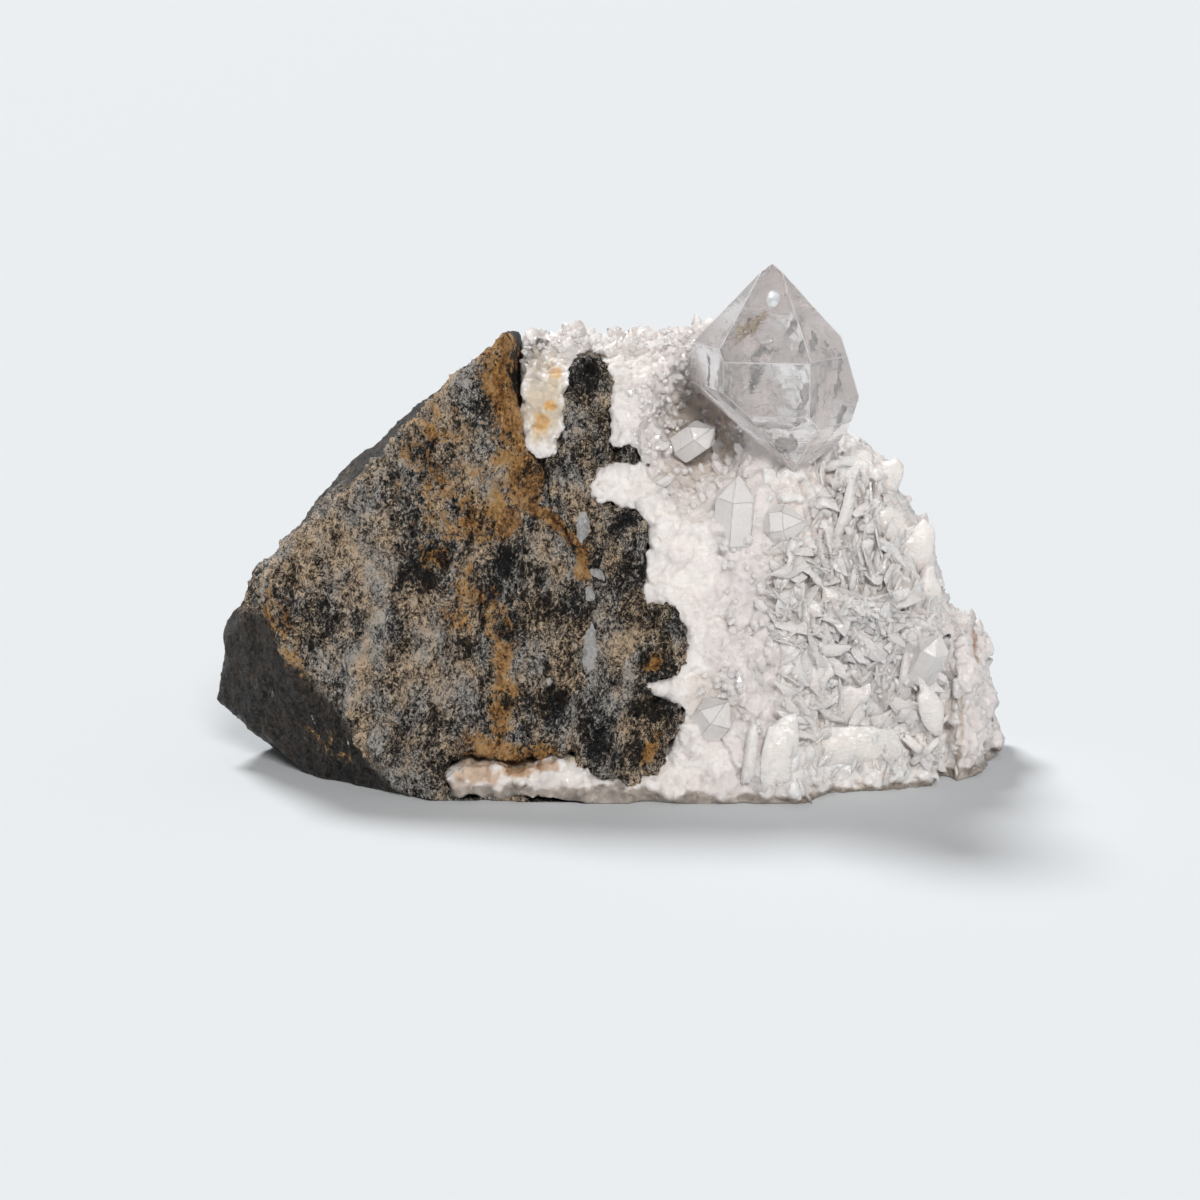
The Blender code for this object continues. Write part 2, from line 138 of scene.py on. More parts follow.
# Large plates: X and Z of the middle, how far the front stands off the crust, width, length,
# thickness, then turn about the length, lean to the front and roll in the face in degrees, and outline
PLATES = {
    "low upright plate": (19.2, 4.9, 1.2, 4.4, 9.4, 1.5, 6, -3, -4, "lath"),
    "low wide plate": (26.6, 5.2, 1.3, 5.0, 12.8, 1.6, 3, 8, 88, "lath"),
    "narrow lath": (15.9, 5.6, 0.9, 1.6, 7.4, 1.4, 30, 0, -6, "lath"),
    "lens plate": (23.3, 12.2, 1.2, 2.7, 7.0, 1.2, 14, 4, -14, "leaf"),
    "round-ended plate": (27.0, 9.4, 1.3, 3.6, 7.0, 1.2, -10, 6, -40, "round"),
    "horizontal lath": (23.6, 16.1, 1.0, 1.7, 7.6, 1.1, 4, 14, 84, "lath"),
    "upper rib": (26.9, 30.4, 1.5, 2.6, 8.6, 1.1, 58, 4, -14, "lath"),
    "frosty lozenge": (32.2, 29.0, 1.1, 3.4, 6.4, 1.8, 12, 10, 42, "round"),
    "lower lozenge": (28.2, 26.6, 1.0, 2.6, 4.8, 1.5, -10, 8, 30, "leaf"),
    "upper face": (32.6, 33.2, 1.0, 3.2, 5.2, 1.8, 24, 4, -20, "round"),
    "shield": (34.8, 25.6, 1.1, 5.2, 6.6, 2.0, 14, 6, -16, "round"),
    "edge face": (36.8, 20.9, 1.1, 3.4, 5.6, 1.8, 18, 2, -14, "round"),
    "upright lath": (26.4, 24.9, 1.3, 1.6, 4.6, 1.0, 30, 4, 10, "lath"),
    "small face": (25.6, 21.2, 1.0, 2.6, 2.8, 1.2, 0, 8, 10, "lath"),
    "right spear": (33.7, 12.0, 1.4, 1.5, 7.6, 0.9, 42, 4, -8, "leaf"),
    "right leaf": (36.7, 8.8, 1.4, 3.0, 6.4, 1.1, 14, 4, 26, "leaf"),
    "clear prism": (35.2, 15.9, 1.3, 1.8, 4.4, 1.4, 30, 6, 12, "lath"),
    "crossed lath": (35.4, 4.4, 1.2, 1.1, 4.6, 0.9, 20, 6, 48, "lath"),
    "second crossed lath": (36.2, 4.2, 1.1, 1.0, 4.2, 0.9, -16, 6, -46, "lath"),
}

# Fields of ribs fused into the crust: count, X range, Z range, lengths, widths, in-face rolls,
# turns, thicknesses, and how far the outer edge stands off the crust
RIB_FIELDS = {
    "upper fan": (
        60, (24.0, 37.0), (23.5, 36.5), (3.0, 8.0), (2.0, 3.2), (-26, 14), (60, 86), (0.5, 0.9), (0.3, 1.2),
    ),
    "nest": (
        20, (18.8, 26.0), (18.5, 28.0), (1.8, 4.4), (1.2, 2.2), (-80, 80), (40, 86), (0.4, 0.6), (0.2, 0.8),
    ),
    "middle": (
        50, (21.0, 38.0), (8.5, 21.0), (1.4, 4.2), (1.0, 2.0), (-90, 90), (15, 86), (0.4, 0.7), (0.2, 1.0),
    ),
}

# Fields of crisp blades, as above
CRISP_FIELDS = {
    "fan": (
        90, (23.5, 38.0), (22.0, 37.0), (2.0, 6.0), (1.2, 2.6), (-30, 18), (45, 85), (0.3, 0.7), (0.1, 0.8),
    ),
    "fan faces": (
        110, (24.0, 38.5), (20.0, 36.5), (1.6, 4.4), (1.2, 3.0), (-50, 60), (0, 40), (0.4, 1.0), (-0.1, 0.4),
    ),
    "nest": (
        70, (18.5, 27.0), (17.5, 28.5), (1.6, 4.8), (0.8, 2.4), (-90, 90), (20, 85), (0.15, 0.4), (0.1, 0.9),
    ),
    "middle": (
        170, (20.5, 39.0), (7.5, 21.5), (1.6, 5.6), (1.1, 3.0), (-90, 90), (0, 72), (0.25, 0.7), (0.1, 0.9),
    ),
    "foot": (
        110, (15.0, 38.5), (0.8, 7.5), (1.0, 3.4), (0.6, 1.6), (-50, 50), (5, 85), (0.2, 0.4), (0.0, 0.6),
    ),
    "left fringe": (
        90, (13.0, 21.5), (4.0, 30.0), (1.0, 3.2), (0.8, 2.0), (-70, 70), (0, 70), (0.2, 0.5), (0.0, 0.35),
    ),
}

# Fields of small points: what they stand on, count, X range, Z range, radii, length over radius, and
# whether only those in the pocket grow
DRUSE_FIELDS = (
    ("crust", 170, (2.5, 17.0), (38.0, 50.0), (0.12, 0.4), (1.0, 2.0), False),
    ("crust", 80, (4.0, 17.0), (31.0, 40.0), (0.25, 0.6), (1.6, 3.0), True),
    ("crust", 120, (-8.0, 14.0), (48.6, 50.6), (0.12, 0.36), (1.0, 1.8), False),
    ("crust", 50, (13.0, 20.0), (17.0, 31.0), (0.25, 0.6), (1.2, 2.2), False),
    ("crust", 24, (10.0, 15.5), (8.5, 14.5), (0.3, 0.6), (1.6, 2.8), False),
    ("blades", 130, (25.0, 39.0), (8.5, 21.5), (0.12, 0.4), (1.6, 3.6), False),
    ("blades", 24, (19.5, 26.0), (9.0, 19.0), (0.12, 0.35), (1.6, 3.0), False),
    ("blades", 26, (33.5, 38.5), (12.0, 18.0), (0.4, 0.8), (2.4, 4.0), False),
)

# Hollows among the blades: X, Z, radii and depth
BLADE_HOLLOWS = (
    (26.0, 36.2, 0.9, 1.0, 2.0), (29.7, 32.2, 1.0, 1.5, 2.6), (29.9, 29.6, 1.2, 1.0, 2.0),
    (26.2, 29.6, 0.7, 2.2, 2.2), (22.9, 23.6, 2.6, 2.2, 2.0), (30.8, 22.2, 3.0, 1.3, 1.8),
    (29.0, 24.3, 1.2, 0.5, 1.2), (21.7, 6.9, 1.2, 1.0, 1.6), (20.4, 19.4, 1.4, 0.7, 1.2),
    (34.6, 2.9, 0.9, 1.0, 1.4), (24.4, 3.2, 1.0, 0.9, 1.0), (37.9, 11.6, 0.8, 2.4, 1.4),
)

# Rust stains on the rock: half width in mm, strength, then the X and Z of the points it runs through
RUST_STAINS = {
    "band beside the crust": (1.7, 0.85, ((-11.3, 50.4), (-10.8, 43.8), (-10.3, 38.3), (-10.1, 32.9))),
    "foot of the band": (2.0, 0.75, ((-10.6, 33.5), (-12.4, 31.0), (-15.0, 30.0))),
    "ledge": (0.6, 0.85, ((-10.1, 32.4), (-7.0, 31.4), (-5.4, 30.1), (-3.1, 28.0), (-2.8, 25.0))),
    "upper patch": (2.4, 0.5, ((-20.0, 43.8), (-17.8, 39.4))),
    "middle patch": (2.6, 0.4, ((-20.5, 36.0), (-16.0, 33.5), (-18.9, 28.5))),
    "small patch": (1.6, 0.55, ((-15.5, 24.0), (-17.0, 20.5))),
    "low streak": (1.1, 0.7, ((-13.2, 22.0), (-11.6, 17.6), (-11.2, 12.2), (-12.3, 7.9), (-14.6, 4.4))),
    "low seam": (1.2, 0.75, ((-14.6, 6.6), (-11.0, 5.4), (-6.4, 4.8))),
    "spot on the dark face": (1.6, 0.5, ((-37.4, 19.8), (-35.4, 15.0))),
    "far spot": (1.2, 0.5, ((-33.0, 6.0), (-30.5, 3.6))),
    "right spot": (0.7, 0.7, ((5.0, 15.6), (4.4, 14.8))),
    "low right spot": (0.6, 0.7, ((5.3, 7.5), (4.2, 4.6))),
}

# Threads of white quartz in the rock: X, Z, half width, half height and lean in degrees
VEIN_FLECKS = (
    (-2.8, 30.1, 0.75, 1.7, 4), (-1.2, 25.0, 0.9, 0.5, 30), (-2.0, 22.7, 0.6, 0.9, -10),
    (-2.0, 16.8, 0.75, 2.7, 4), (-4.8, 40.0, 0.3, 0.5, 0), (-33.4, 6.6, 0.18, 1.8, -12),
    (-29.4, 4.9, 0.16, 1.5, -6), (-38.6, 9.4, 0.2, 1.4, 8), (-6.6, 13.0, 0.3, 0.5, 20),
)

# Paler streaks and patches of the rock: X, Z, radii and strength
PALE_PATCHES = (
    (-29.6, 20.5, 0.9, 5.0, 0.9), (-27.0, 20.0, 0.6, 6.5, 1.0), (-33.0, 24.0, 2.6, 4.0, 0.6),
    (-31.5, 12.0, 2.6, 5.0, 0.6), (-22.5, 9.0, 3.0, 5.0, 0.6), (-24.5, 30.5, 5.0, 2.6, 0.5),
    (-37.6, 24.6, 1.6, 4.6, 0.7), (-18.6, 14.5, 2.0, 4.0, 0.4), (-9.6, 15.0, 1.8, 4.6, 0.4),
    (-13.8, 45.0, 2.6, 2.4, 0.4), (-26.0, 4.5, 2.2, 2.4, 0.5),
)

# Dark glossy knobs of rock: X, Z and radius
KNOBS = (
    (6.6, 20.6, 2.6), (6.0, 15.4, 1.9), (4.6, 11.2, 2.7), (3.2, 39.4, 2.2), (-2.4, 45.8, 2.6),
    (-0.4, 42.0, 1.8), (1.4, 29.4, 2.0), (2.6, 24.6, 2.2), (-1.4, 7.4, 2.6), (4.2, 5.4, 2.2),
    (-5.4, 10.4, 2.4), (-6.6, 21.2, 2.0), (-10.4, 26.4, 1.8), (-21.0, 25.0, 2.4), (-37.4, 17.0, 2.4),
)

# Open cracks in the rock, painted darker inside as painted shade: half width, depth, then the X and Z of the
# points it runs through
CRACKS = {
    "crack beside the rust": (
        0.22, 0.55, ((-7.4, 37.4), (-6.9, 34.0), (-6.4, 31.6), (-4.6, 29.4), (-3.6, 27.2)),
    ),
    "short crack": (0.25, 0.7, ((-14.4, 23.1), (-14.1, 18.9))),
    "slanted crack": (0.22, 0.5, ((-20.5, 11.7), (-22.4, 10.3))),
    "upper crack": (0.3, 0.6, ((-5.9, 47.8), (-5.6, 43.0), (-6.0, 39.4))),
    "left crack": (0.25, 0.5, ((-17.6, 5.0), (-17.2, 1.4))),
}

# Stains on the crust, and painted shade in the pocket and in hollows: X, Z, radii, strength and colour
CRUST_STAINS_AND_HOLLOW_SHADE = (
    (-7.2, 43.6, 2.3, 4.8, 0.75, (0.62, 0.52, 0.36)),
    (-6.7, 43.2, 0.8, 0.7, 0.9, (0.72, 0.40, 0.12)),
    (-7.6, 41.1, 0.9, 1.2, 0.8, (0.70, 0.42, 0.14)),
    (-6.0, 46.6, 0.9, 0.5, 0.8, (0.72, 0.44, 0.18)),
    (-7.6, 49.4, 0.8, 0.8, 1.0, (0.10, 0.07, 0.05)),
    (-7.8, 47.0, 1.6, 2.0, 0.6, (0.50, 0.46, 0.41)),
    (-14.3, 3.4, 2.6, 1.2, 0.7, (0.55, 0.36, 0.20)),
    (-10.2, 3.8, 2.4, 0.9, 0.8, (0.50, 0.27, 0.10)),
    (-6.6, 4.2, 1.4, 0.6, 0.7, (0.44, 0.25, 0.10)),
    (-16.6, 1.9, 1.4, 0.8, 0.6, (0.40, 0.28, 0.18)),
    (-4.0, 4.6, 0.7, 0.5, 0.6, (0.72, 0.60, 0.30)),
    # painted shade in the pocket
    (8.5, 35.5, 2.6, 2.2, 0.45, (0.50, 0.43, 0.36)),
    (12.8, 8.8, 0.7, 0.7, 0.8, (0.62, 0.38, 0.16)),
    # painted shade in a hollow
    (11.5, 11.0, 2.6, 3.2, 0.35, (0.60, 0.52, 0.44)),
    # painted shade in two hollows among the blades
    (22.9, 23.4, 2.6, 2.6, 0.5, (0.46, 0.41, 0.35)),
    (30.8, 22.1, 2.8, 1.6, 0.45, (0.50, 0.45, 0.38)),
    (42.8, 14.2, 0.45, 1.4, 0.8, (0.40, 0.20, 0.08)),
    (40.6, 7.0, 0.4, 2.6, 0.55, (0.40, 0.28, 0.16)),
    (40.2, 3.0, 0.4, 1.2, 0.7, (0.22, 0.16, 0.10)),
)

# Tints of the crust and of the blades, place by place
CRUST_TINTS = {
    # painted shade: darker on the ground under the blades
    "under the blades": (0.84, 0.795, 0.78),
    "milky column": (0.85, 0.80, 0.785),
    # painted light: the end wall is painted brighter than the rest of the crust
    "end wall": (1.0, 0.92, 0.88),
    "glassy middle": (0.80, 0.755, 0.745),
    # painted shade: darker along the top edge
    "top edge": (0.68, 0.64, 0.625),
    # darker towards the very bottom, in darker and paler patches
    "darkest at the foot": (0.14, 0.11, 0.09),
    "palest at the foot": (0.52, 0.46, 0.40),
}
BLADE_TINTS = {
    "glassy middle": (0.88, 0.835, 0.825),
    # painted shade: beige where the blades lie deep
    "sunk": (0.76, 0.68, 0.61),
    # painted shade in the gaps between blades
    "gaps": (0.80, 0.73, 0.70),
    # paler on the edges: partly white frost, partly painted highlight
    "edges": (0.98, 0.965, 0.955),
    "white grains": (0.99, 0.975, 0.965),
    "foot": (0.22, 0.17, 0.12),
}

# Clouds of flakes inside the large crystal: centre, spread, count and size range
VEIL_CLOUDS = (
    ((20.0, -10.5, 39.6), (1.7, 1.4, 1.2), 110, (0.08, 0.30)),
    ((18.4, -10.0, 49.6), (1.0, 1.0, 0.5), 40, (0.06, 0.22)),
    ((21.5, -9.0, 46.5), (1.2, 2.6, 3.6), 120, (0.05, 0.20)),
    ((17.5, -8.5, 45.0), (3.4, 3.0, 2.4), 150, (0.04, 0.16)),
    ((14.2, -9.5, 50.0), (1.6, 1.2, 2.0), 70, (0.05, 0.18)),
    ((19.0, -9.0, 41.8), (3.4, 2.8, 0.35), 110, (0.05, 0.18)),
)

# Larger healed cracks inside the large crystal: centre, length and width, then tip, slope and turn
# in degrees, and kind
VEIL_SHEETS = (
    ((13.6, -12.0, 52.0), (2.6, 0.9), (0, 50, 10), "pale"),
    ((17.9, -13.6, 49.7), (1.4, 0.9), (15, 6, 10), "clear"),
    ((18.0, -13.0, 42.4), (6.0, 0.8), (0, 2, 8), "pale"),
    ((21.7, -13.8, 44.4), (4.4, 0.9), (0, 74, 10), "clear"),
    ((20.0, -12.6, 39.8), (2.8, 2.4), (30, 20, 20), "pale"),
    ((19.0, -11.6, 38.6), (2.6, 1.6), (0, 50, 10), "clear"),
    ((14.0, -11.8, 47.0), (3.4, 1.6), (0, 62, 40), "pale"),
    ((12.4, -9.6, 47.4), (4.0, 1.6), (0, 58, 55), "clear"),
    ((11.2, -9.2, 44.8), (2.8, 1.4), (0, 52, 55), "pale"),
    ((20.6, -12.0, 52.4), (4.4, 0.8), (0, 66, -20), "pale"),
    ((22.4, -12.4, 50.8), (5.4, 0.9), (0, 62, -30), "clear"),
    ((23.8, -12.2, 49.2), (5.4, 0.8), (6, 64, -34), "pale"),
    ((25.0, -11.2, 47.0), (5.0, 1.1), (10, 72, -40), "clear"),
    ((25.4, -10.6, 42.6), (3.0, 1.6), (0, 40, -40), "clear"),
    ((17.2, -9.0, 47.4), (5.4, 4.2), (20, 30, 65), "clear"),
)


# Settings a user would change


class RockSettings(bpy.types.PropertyGroup):
    """The wall rock's mesh, grain and colours"""

    voxel: bpy.props.FloatProperty(
        name="Mesh size", description="Spacing of the rock's mesh, in millimetres",
        default=0.52, min=0.3, max=2.0,
    )
    relief: bpy.props.FloatProperty(
        name="Grain relief", description="Height of the rock's grain, in millimetres",
        default=0.52, min=0.0, max=1.0,
    )
    dark: bpy.props.FloatVectorProperty(
        name="Dark grain", description="Colour of the rock's dark grains",
        subtype="COLOR", size=3, min=0.0, max=1.0, default=(0.022, 0.021, 0.020),
    )
    grey: bpy.props.FloatVectorProperty(
        name="Grey grain", description="Colour of most of the rock",
        subtype="COLOR", size=3, min=0.0, max=1.0, default=(0.165, 0.150, 0.134),
    )
    buff: bpy.props.FloatVectorProperty(
        name="Buff grain", description="Colour of the rock's pale grains and threads",
        subtype="COLOR", size=3, min=0.0, max=1.0, default=(0.44, 0.385, 0.32),
    )
    rust: bpy.props.FloatVectorProperty(
        name="Rust", description="Colour of the iron stains",
        subtype="COLOR", size=3, min=0.0, max=1.0, default=(0.78, 0.37, 0.115),
    )


class CrustSettings(bpy.types.PropertyGroup):
    """The vein quartz's mesh, grains and colours"""

    voxel: bpy.props.FloatProperty(
        name="Mesh size", description="Spacing of the crust's mesh, in millimetres",
        default=0.5, min=0.3, max=2.0,
    )
    sugar: bpy.props.FloatProperty(
        name="Sugar height", description="Height of the grains on the crust, in millimetres",
        default=0.42, min=0.0, max=1.0,
    )
    white: bpy.props.FloatVectorProperty(
        name="White quartz", description="Colour of the sugary vein quartz",
        subtype="COLOR", size=3, min=0.0, max=1.0, default=(0.93, 0.88, 0.85),
    )
    # painted shade: the hollow colour darkens the quartz deep in the pocket
    hollow: bpy.props.FloatVectorProperty(
        name="Hollows", description="Colour of the quartz deep in the pocket",
        subtype="COLOR", size=3, min=0.0, max=1.0, default=(0.80, 0.71, 0.63),
    )
    # the pocket wall's grey is partly the translucent quartz's own look and partly painted shade
    wall: bpy.props.FloatVectorProperty(
        name="Pocket wall", description="Colour of the grey quartz around the pocket",
        subtype="COLOR", size=3, min=0.0, max=1.0, default=(0.80, 0.745, 0.73),
    )


class CrystalSettings(bpy.types.PropertyGroup):
    """The clear crystals' tint and edges, and the blades"""

    tint: bpy.props.FloatVectorProperty(
        name="Tint", description="Colour of light that passes through clear quartz",
        subtype="COLOR", size=3, min=0.0, max=1.0, default=(0.965, 0.945, 0.94),
    )
    edge: bpy.props.FloatProperty(
        name="Edge width", description="Width of the worn edges of the large crystal, in millimetres",
        default=0.09, min=0.02, max=0.5,
    )
    blade: bpy.props.FloatVectorProperty(
        name="Blade quartz", description="Colour of the thin quartz blades",
        subtype="COLOR", size=3, min=0.0, max=1.0, default=(1.0, 0.925, 0.885),
    )
    blade_voxel: bpy.props.FloatProperty(
        name="Blade mesh size", description="Spacing of the fused blades' mesh, in millimetres",
        default=0.28, min=0.2, max=1.0,
    )


class StageSettings(bpy.types.PropertyGroup):
    """The floor and the camera"""

    floor: bpy.props.FloatVectorProperty(
        name="Floor", description="Colour of the floor",
        subtype="COLOR", size=3, min=0.0, max=1.0, default=(0.690, 0.727, 0.755),
    )
    lens: bpy.props.FloatProperty(
        name="Lens", description="Focal length of the camera in millimetres",
        default=100.0, min=20.0, max=300.0,
    )
    distance: bpy.props.FloatProperty(
        name="Distance", description="Distance from the camera to the specimen",
        unit="LENGTH", default=0.389, min=0.1, max=5.0,
    )
    elevation: bpy.props.FloatProperty(
        name="Elevation", description="Height of the camera above the level of the specimen, as an angle",
        subtype="ANGLE", default=math.radians(12.0), min=0.0, max=1.5,
    )


# Mesh helpers


def object_from(bm, name):
    """A new object that holds the bmesh, with its normals facing out."""
    bmesh.ops.recalc_face_normals(bm, faces=bm.faces)
    mesh = bpy.data.meshes.new(name)
    bm.to_mesh(mesh)
    bm.free()
    obj = bpy.data.objects.new(name, mesh)
    bpy.context.scene.collection.objects.link(obj)
    return obj


def to_metres(obj):
    """Turns a finished piece to metres, with nothing below the level that the specimen rests on."""
    for vert in obj.data.vertices:
        vert.co.z = max(0.0, vert.co.z)
    obj.data.transform(Matrix.Scale(MM, 4))
    obj.data.update()


def apply_modifiers(obj):
    """Replaces the mesh by what the modifiers make of it."""
    graph = bpy.context.evaluated_depsgraph_get()
    made = bpy.data.meshes.new_from_object(obj.evaluated_get(graph))
    obj.modifiers.clear()
    obj.data = made


def remesh(obj, voxel):
    """Makes the mesh anew from even voxels."""
    modifier = obj.modifiers.new("even mesh", "REMESH")
    modifier.mode = "VOXEL"
    modifier.voxel_size = voxel
    apply_modifiers(obj)


def merged_copy(node):
    """The node's mesh in millimetres, with its loose triangles joined."""
    bm = bmesh.new()
    bm.from_mesh(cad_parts[node].data)
    bmesh.ops.scale(bm, vec=(MM_PER_METRE,) * 3, verts=bm.verts)
    bmesh.ops.remove_doubles(bm, verts=bm.verts, dist=1e-3)
    return bm


def smooth_step(value):
    """0 below 0, 1 above 1 and smooth between."""
    value = min(1.0, max(0.0, value))
    return value * value * (3 - 2 * value)


def distance_to_line(x, z, line):
    """The shortest distance from a point to a line of straight stretches."""
    best = 1e9
    for (x0, z0), (x1, z1) in zip(line, line[1:]):
        dx, dz = x1 - x0, z1 - z0
        share = ((x - x0) * dx + (z - z0) * dz) / (dx * dx + dz * dz)
        share = min(1.0, max(0.0, share))
        best = min(best, math.hypot(x - x0 - share * dx, z - z0 - share * dz))
    return best


def inside_outline(x, z, outline):
    """Whether a point lies inside a closed outline, by how often a ray from it crosses the rim."""
    inside = False
    for (x0, z0), (x1, z1) in zip(outline, outline[1:] + outline[:1]):
        if (z0 > z) != (z1 > z) and x < x0 + (z - z0) * (x1 - x0) / (z1 - z0):
            inside = not inside
    return inside


def bump(x, z, centre, radii):
    """1 at the centre of an ellipse and 0 at its rim, with a soft slope between."""
    away = math.hypot((x - centre[0]) / radii[0], (z - centre[1]) / radii[1])
    return smooth_step((1 - away) * 1.2)


def mix(a, b, share):
    """The value that is a share of the way from a to b."""
    return a + (b - a) * share


def paint(mesh, name, colours):
    """Gives each point of the mesh a colour under a name."""
    layer = mesh.attributes.new(name, "FLOAT_COLOR", "POINT")
    layer.data.foreach_set("color", [value for colour in colours for value in (*colour, 1.0)])


# Material helpers


def start_material(name):
    """A new material with its node tree and its shader."""
    material = bpy.data.materials.new(name)
    material.use_nodes = True
    tree = material.node_tree
    return material, tree, tree.nodes["Principled BSDF"]


def node(tree, kind, inputs, **settings):
    """A shader node with its settings and inputs, each input a value or the socket that feeds it."""
    made = tree.nodes.new("ShaderNode" + kind)
    for key, value in settings.items():
        setattr(made, key, value)
    for key, value in inputs.items():
        if isinstance(value, bpy.types.NodeSocket):
            tree.links.new(value, made.inputs[key])
        else:
            made.inputs[key].default_value = value
    return made


def millimetres(tree, scale=(1, 1, 1), rotation=(0, 0, 0)):
    """The piece's own coordinates in millimetres, stretched and turned."""
    place = node(tree, "TexCoord", {}).outputs["Object"]
    scale = tuple(value * MM_PER_METRE for value in scale)
    return node(tree, "Mapping", {"Vector": place, "Scale": scale, "Rotation": rotation}).outputs[0]


def cloud(tree, place, scale, detail=4.0, roughness=0.55, distortion=0.0):
    """Soft noise around 0.5, with features 1/scale mm across."""
    inputs = {"Vector": place, "Scale": scale, "Detail": detail}
    inputs.update({"Roughness": roughness, "Distortion": distortion})
    return node(tree, "TexNoise", inputs).outputs["Fac"]


def between(tree, value, low, high):
    """0 below low, 1 above high and smooth between."""
    inputs = {"Value": value, "From Min": low, "From Max": high}
    return node(tree, "MapRange", inputs, interpolation_type="SMOOTHSTEP").outputs[0]


def maths(tree, operation, *values):
    """The result of a calculation on values or sockets."""
    inputs = dict(enumerate(values))
    return node(tree, "Math", inputs, operation=operation).outputs[0]


def plus(tree, a, b):
    """The sum of two values or sockets."""
    return maths(tree, "ADD", a, b)


def minus(tree, a, b):
    """The first value or socket less the second."""
    return maths(tree, "SUBTRACT", a, b)


def times(tree, a, b):
    """The product of two values or sockets."""
    return maths(tree, "MULTIPLY", a, b)


def blend(tree, share, a, b, kind="MIX"):
    """Two colours mixed by a share, or multiplied."""
    inputs = {0: share, 6: a, 7: b}
    return node(tree, "Mix", inputs, data_type="RGBA", blend_type=kind).outputs[2]


def colour(values):
    """An opaque colour from red, green and blue."""
    return (*values, 1.0)


def ramp(tree, value, stops):
    """A colour by a value, through stops of position and colour."""
    made = node(tree, "ValToRGB", {"Fac": value})
    band = made.color_ramp
    band.elements[0].position, band.elements[0].color = stops[0]
    band.elements[1].position, band.elements[1].color = stops[-1]
    for position, shade in stops[1:-1]:
        band.elements.new(position).color = shade
    return made.outputs["Color"]


def bumpy(tree, shader, height, distance, strength=1.0):
    """Feeds the shader's normal from a height, with the distance in mm that a height of 1 stands for."""
    inputs = {"Height": height, "Distance": distance * MM, "Strength": strength}
    tree.links.new(node(tree, "Bump", inputs).outputs[0], shader.inputs["Normal"])


def facets(tree, place, scale):
    """Height in mm of small flat crystal faces, 1/scale mm across, that each lean their own way."""
    cells = node(tree, "TexVoronoi", {"Vector": place, "Scale": scale}).outputs
    away = node(tree, "VectorMath", {0: place, 1: cells["Position"]}, operation="SUBTRACT").outputs[0]
    middle = (0.5, 0.5, 0.5)
    lean = node(tree, "VectorMath", {0: cells["Color"], 1: middle}, operation="SUBTRACT").outputs[0]
    return node(tree, "VectorMath", {0: away, 1: lean}, operation="DOT_PRODUCT").outputs["Value"]


def random_cells(tree, place, scale):
    """A random value for each cell of a pattern, 1/scale mm across."""
    cells = node(tree, "TexVoronoi", {"Vector": place, "Scale": scale}).outputs["Color"]
    return node(tree, "SeparateColor", {0: cells}).outputs[0]


def painted(tree, name):
    """The colour that the mesh carries under a name."""
    return node(tree, "Attribute", {}, attribute_name=name).outputs["Color"]


def painted_parts(tree, name):
    """The three values that the mesh carries under a name."""
    return list(node(tree, "SeparateColor", {0: painted(tree, name)}).outputs)


def milky_body(tree, shader, soft, spread, reach):
    """Milky quartz in the painted tint, faintly mottled, that light spreads in."""
    shade = blend(tree, soft, (0.90, 0.89, 0.89, 1), (1.06, 1.06, 1.06, 1))
    body = blend(tree, 1.0, painted(tree, "tint"), shade, "MULTIPLY")
    tree.links.new(body, shader.inputs["Base Color"])
    shader.inputs["IOR"].default_value = QUARTZ_IOR
    shader.inputs["Subsurface Weight"].default_value = spread
    shader.inputs["Subsurface Radius"].default_value = MILKY_SPREAD
    shader.inputs["Subsurface Scale"].default_value = reach


# Wall rock


def rock_relief(point):
    """Foliation ridges that run up the rock, broken by pits and ledges, as the solid has them."""
    along = Vector((point.x * 0.34, point.y * 0.16, point.z * 0.07))
    coarse = noise.fractal(along, 0.9, 2.1, 3)
    lumps = noise.noise(point * 0.11)
    ledge = math.floor(2.5 * noise.noise(point * 0.07 + Vector((5, 2, 8)))) / 2.5
    return ROCK_RELIEF * (0.7 * coarse + 0.6 * lumps + 0.6 * ledge)


def show_face_depth(place):
    """How far a point lies behind the plane of the show face."""
    return (place.y - (FACE_Y + FACE_LEAN * place.z)) * 0.965 + (place.x + 10.0) * 0.05


def dark_and_shaded_face_share(place):
    """1 on the smooth dark faces: the undercut at the left and the long slope above the show face; their
    darkness is partly the rock's own colour and partly painted shade of faces turned from the light.
    """
    x, z = place.x, place.z
    wander = 1.2 * noise.noise(place * 0.35)
    behind = show_face_depth(place)
    low = smooth_step((19.5 + wander - z) / 1.6) * smooth_step((behind - 1.4) / 1.4)
    slope = smooth_step((x + 33.0 + wander) / 3.0) * smooth_step((z - 19.0) / 4)
    slope *= smooth_step((behind - 1.8) / 1.2)
    back = smooth_step((behind - 12.0) / 6.0)
    return max(low, slope, back) * smooth_step((6.0 - x) / 14.0)


def spread_show_face(place):
    """Moves the show face's upper edge out towards the outline, so that the slope behind it is narrow."""
    behind = show_face_depth(place)
    below = -((place.x + 22.0) * -0.68 + (place.z - 40.4) * 0.73)
    share = smooth_step(1 - behind / 10.0) * smooth_step(1.1 - below / 10.0)
    share *= smooth_step((place.z - 14.0) / 8)
    share *= smooth_step((-8.0 - place.x) / 3.0)
    knob = 0.9 * bump(place.x, place.z, (-34.8, 31.0), (1.6, 1.6))
    return Vector((-0.68, 0.0, 0.73)) * (2.7 * share + knob)


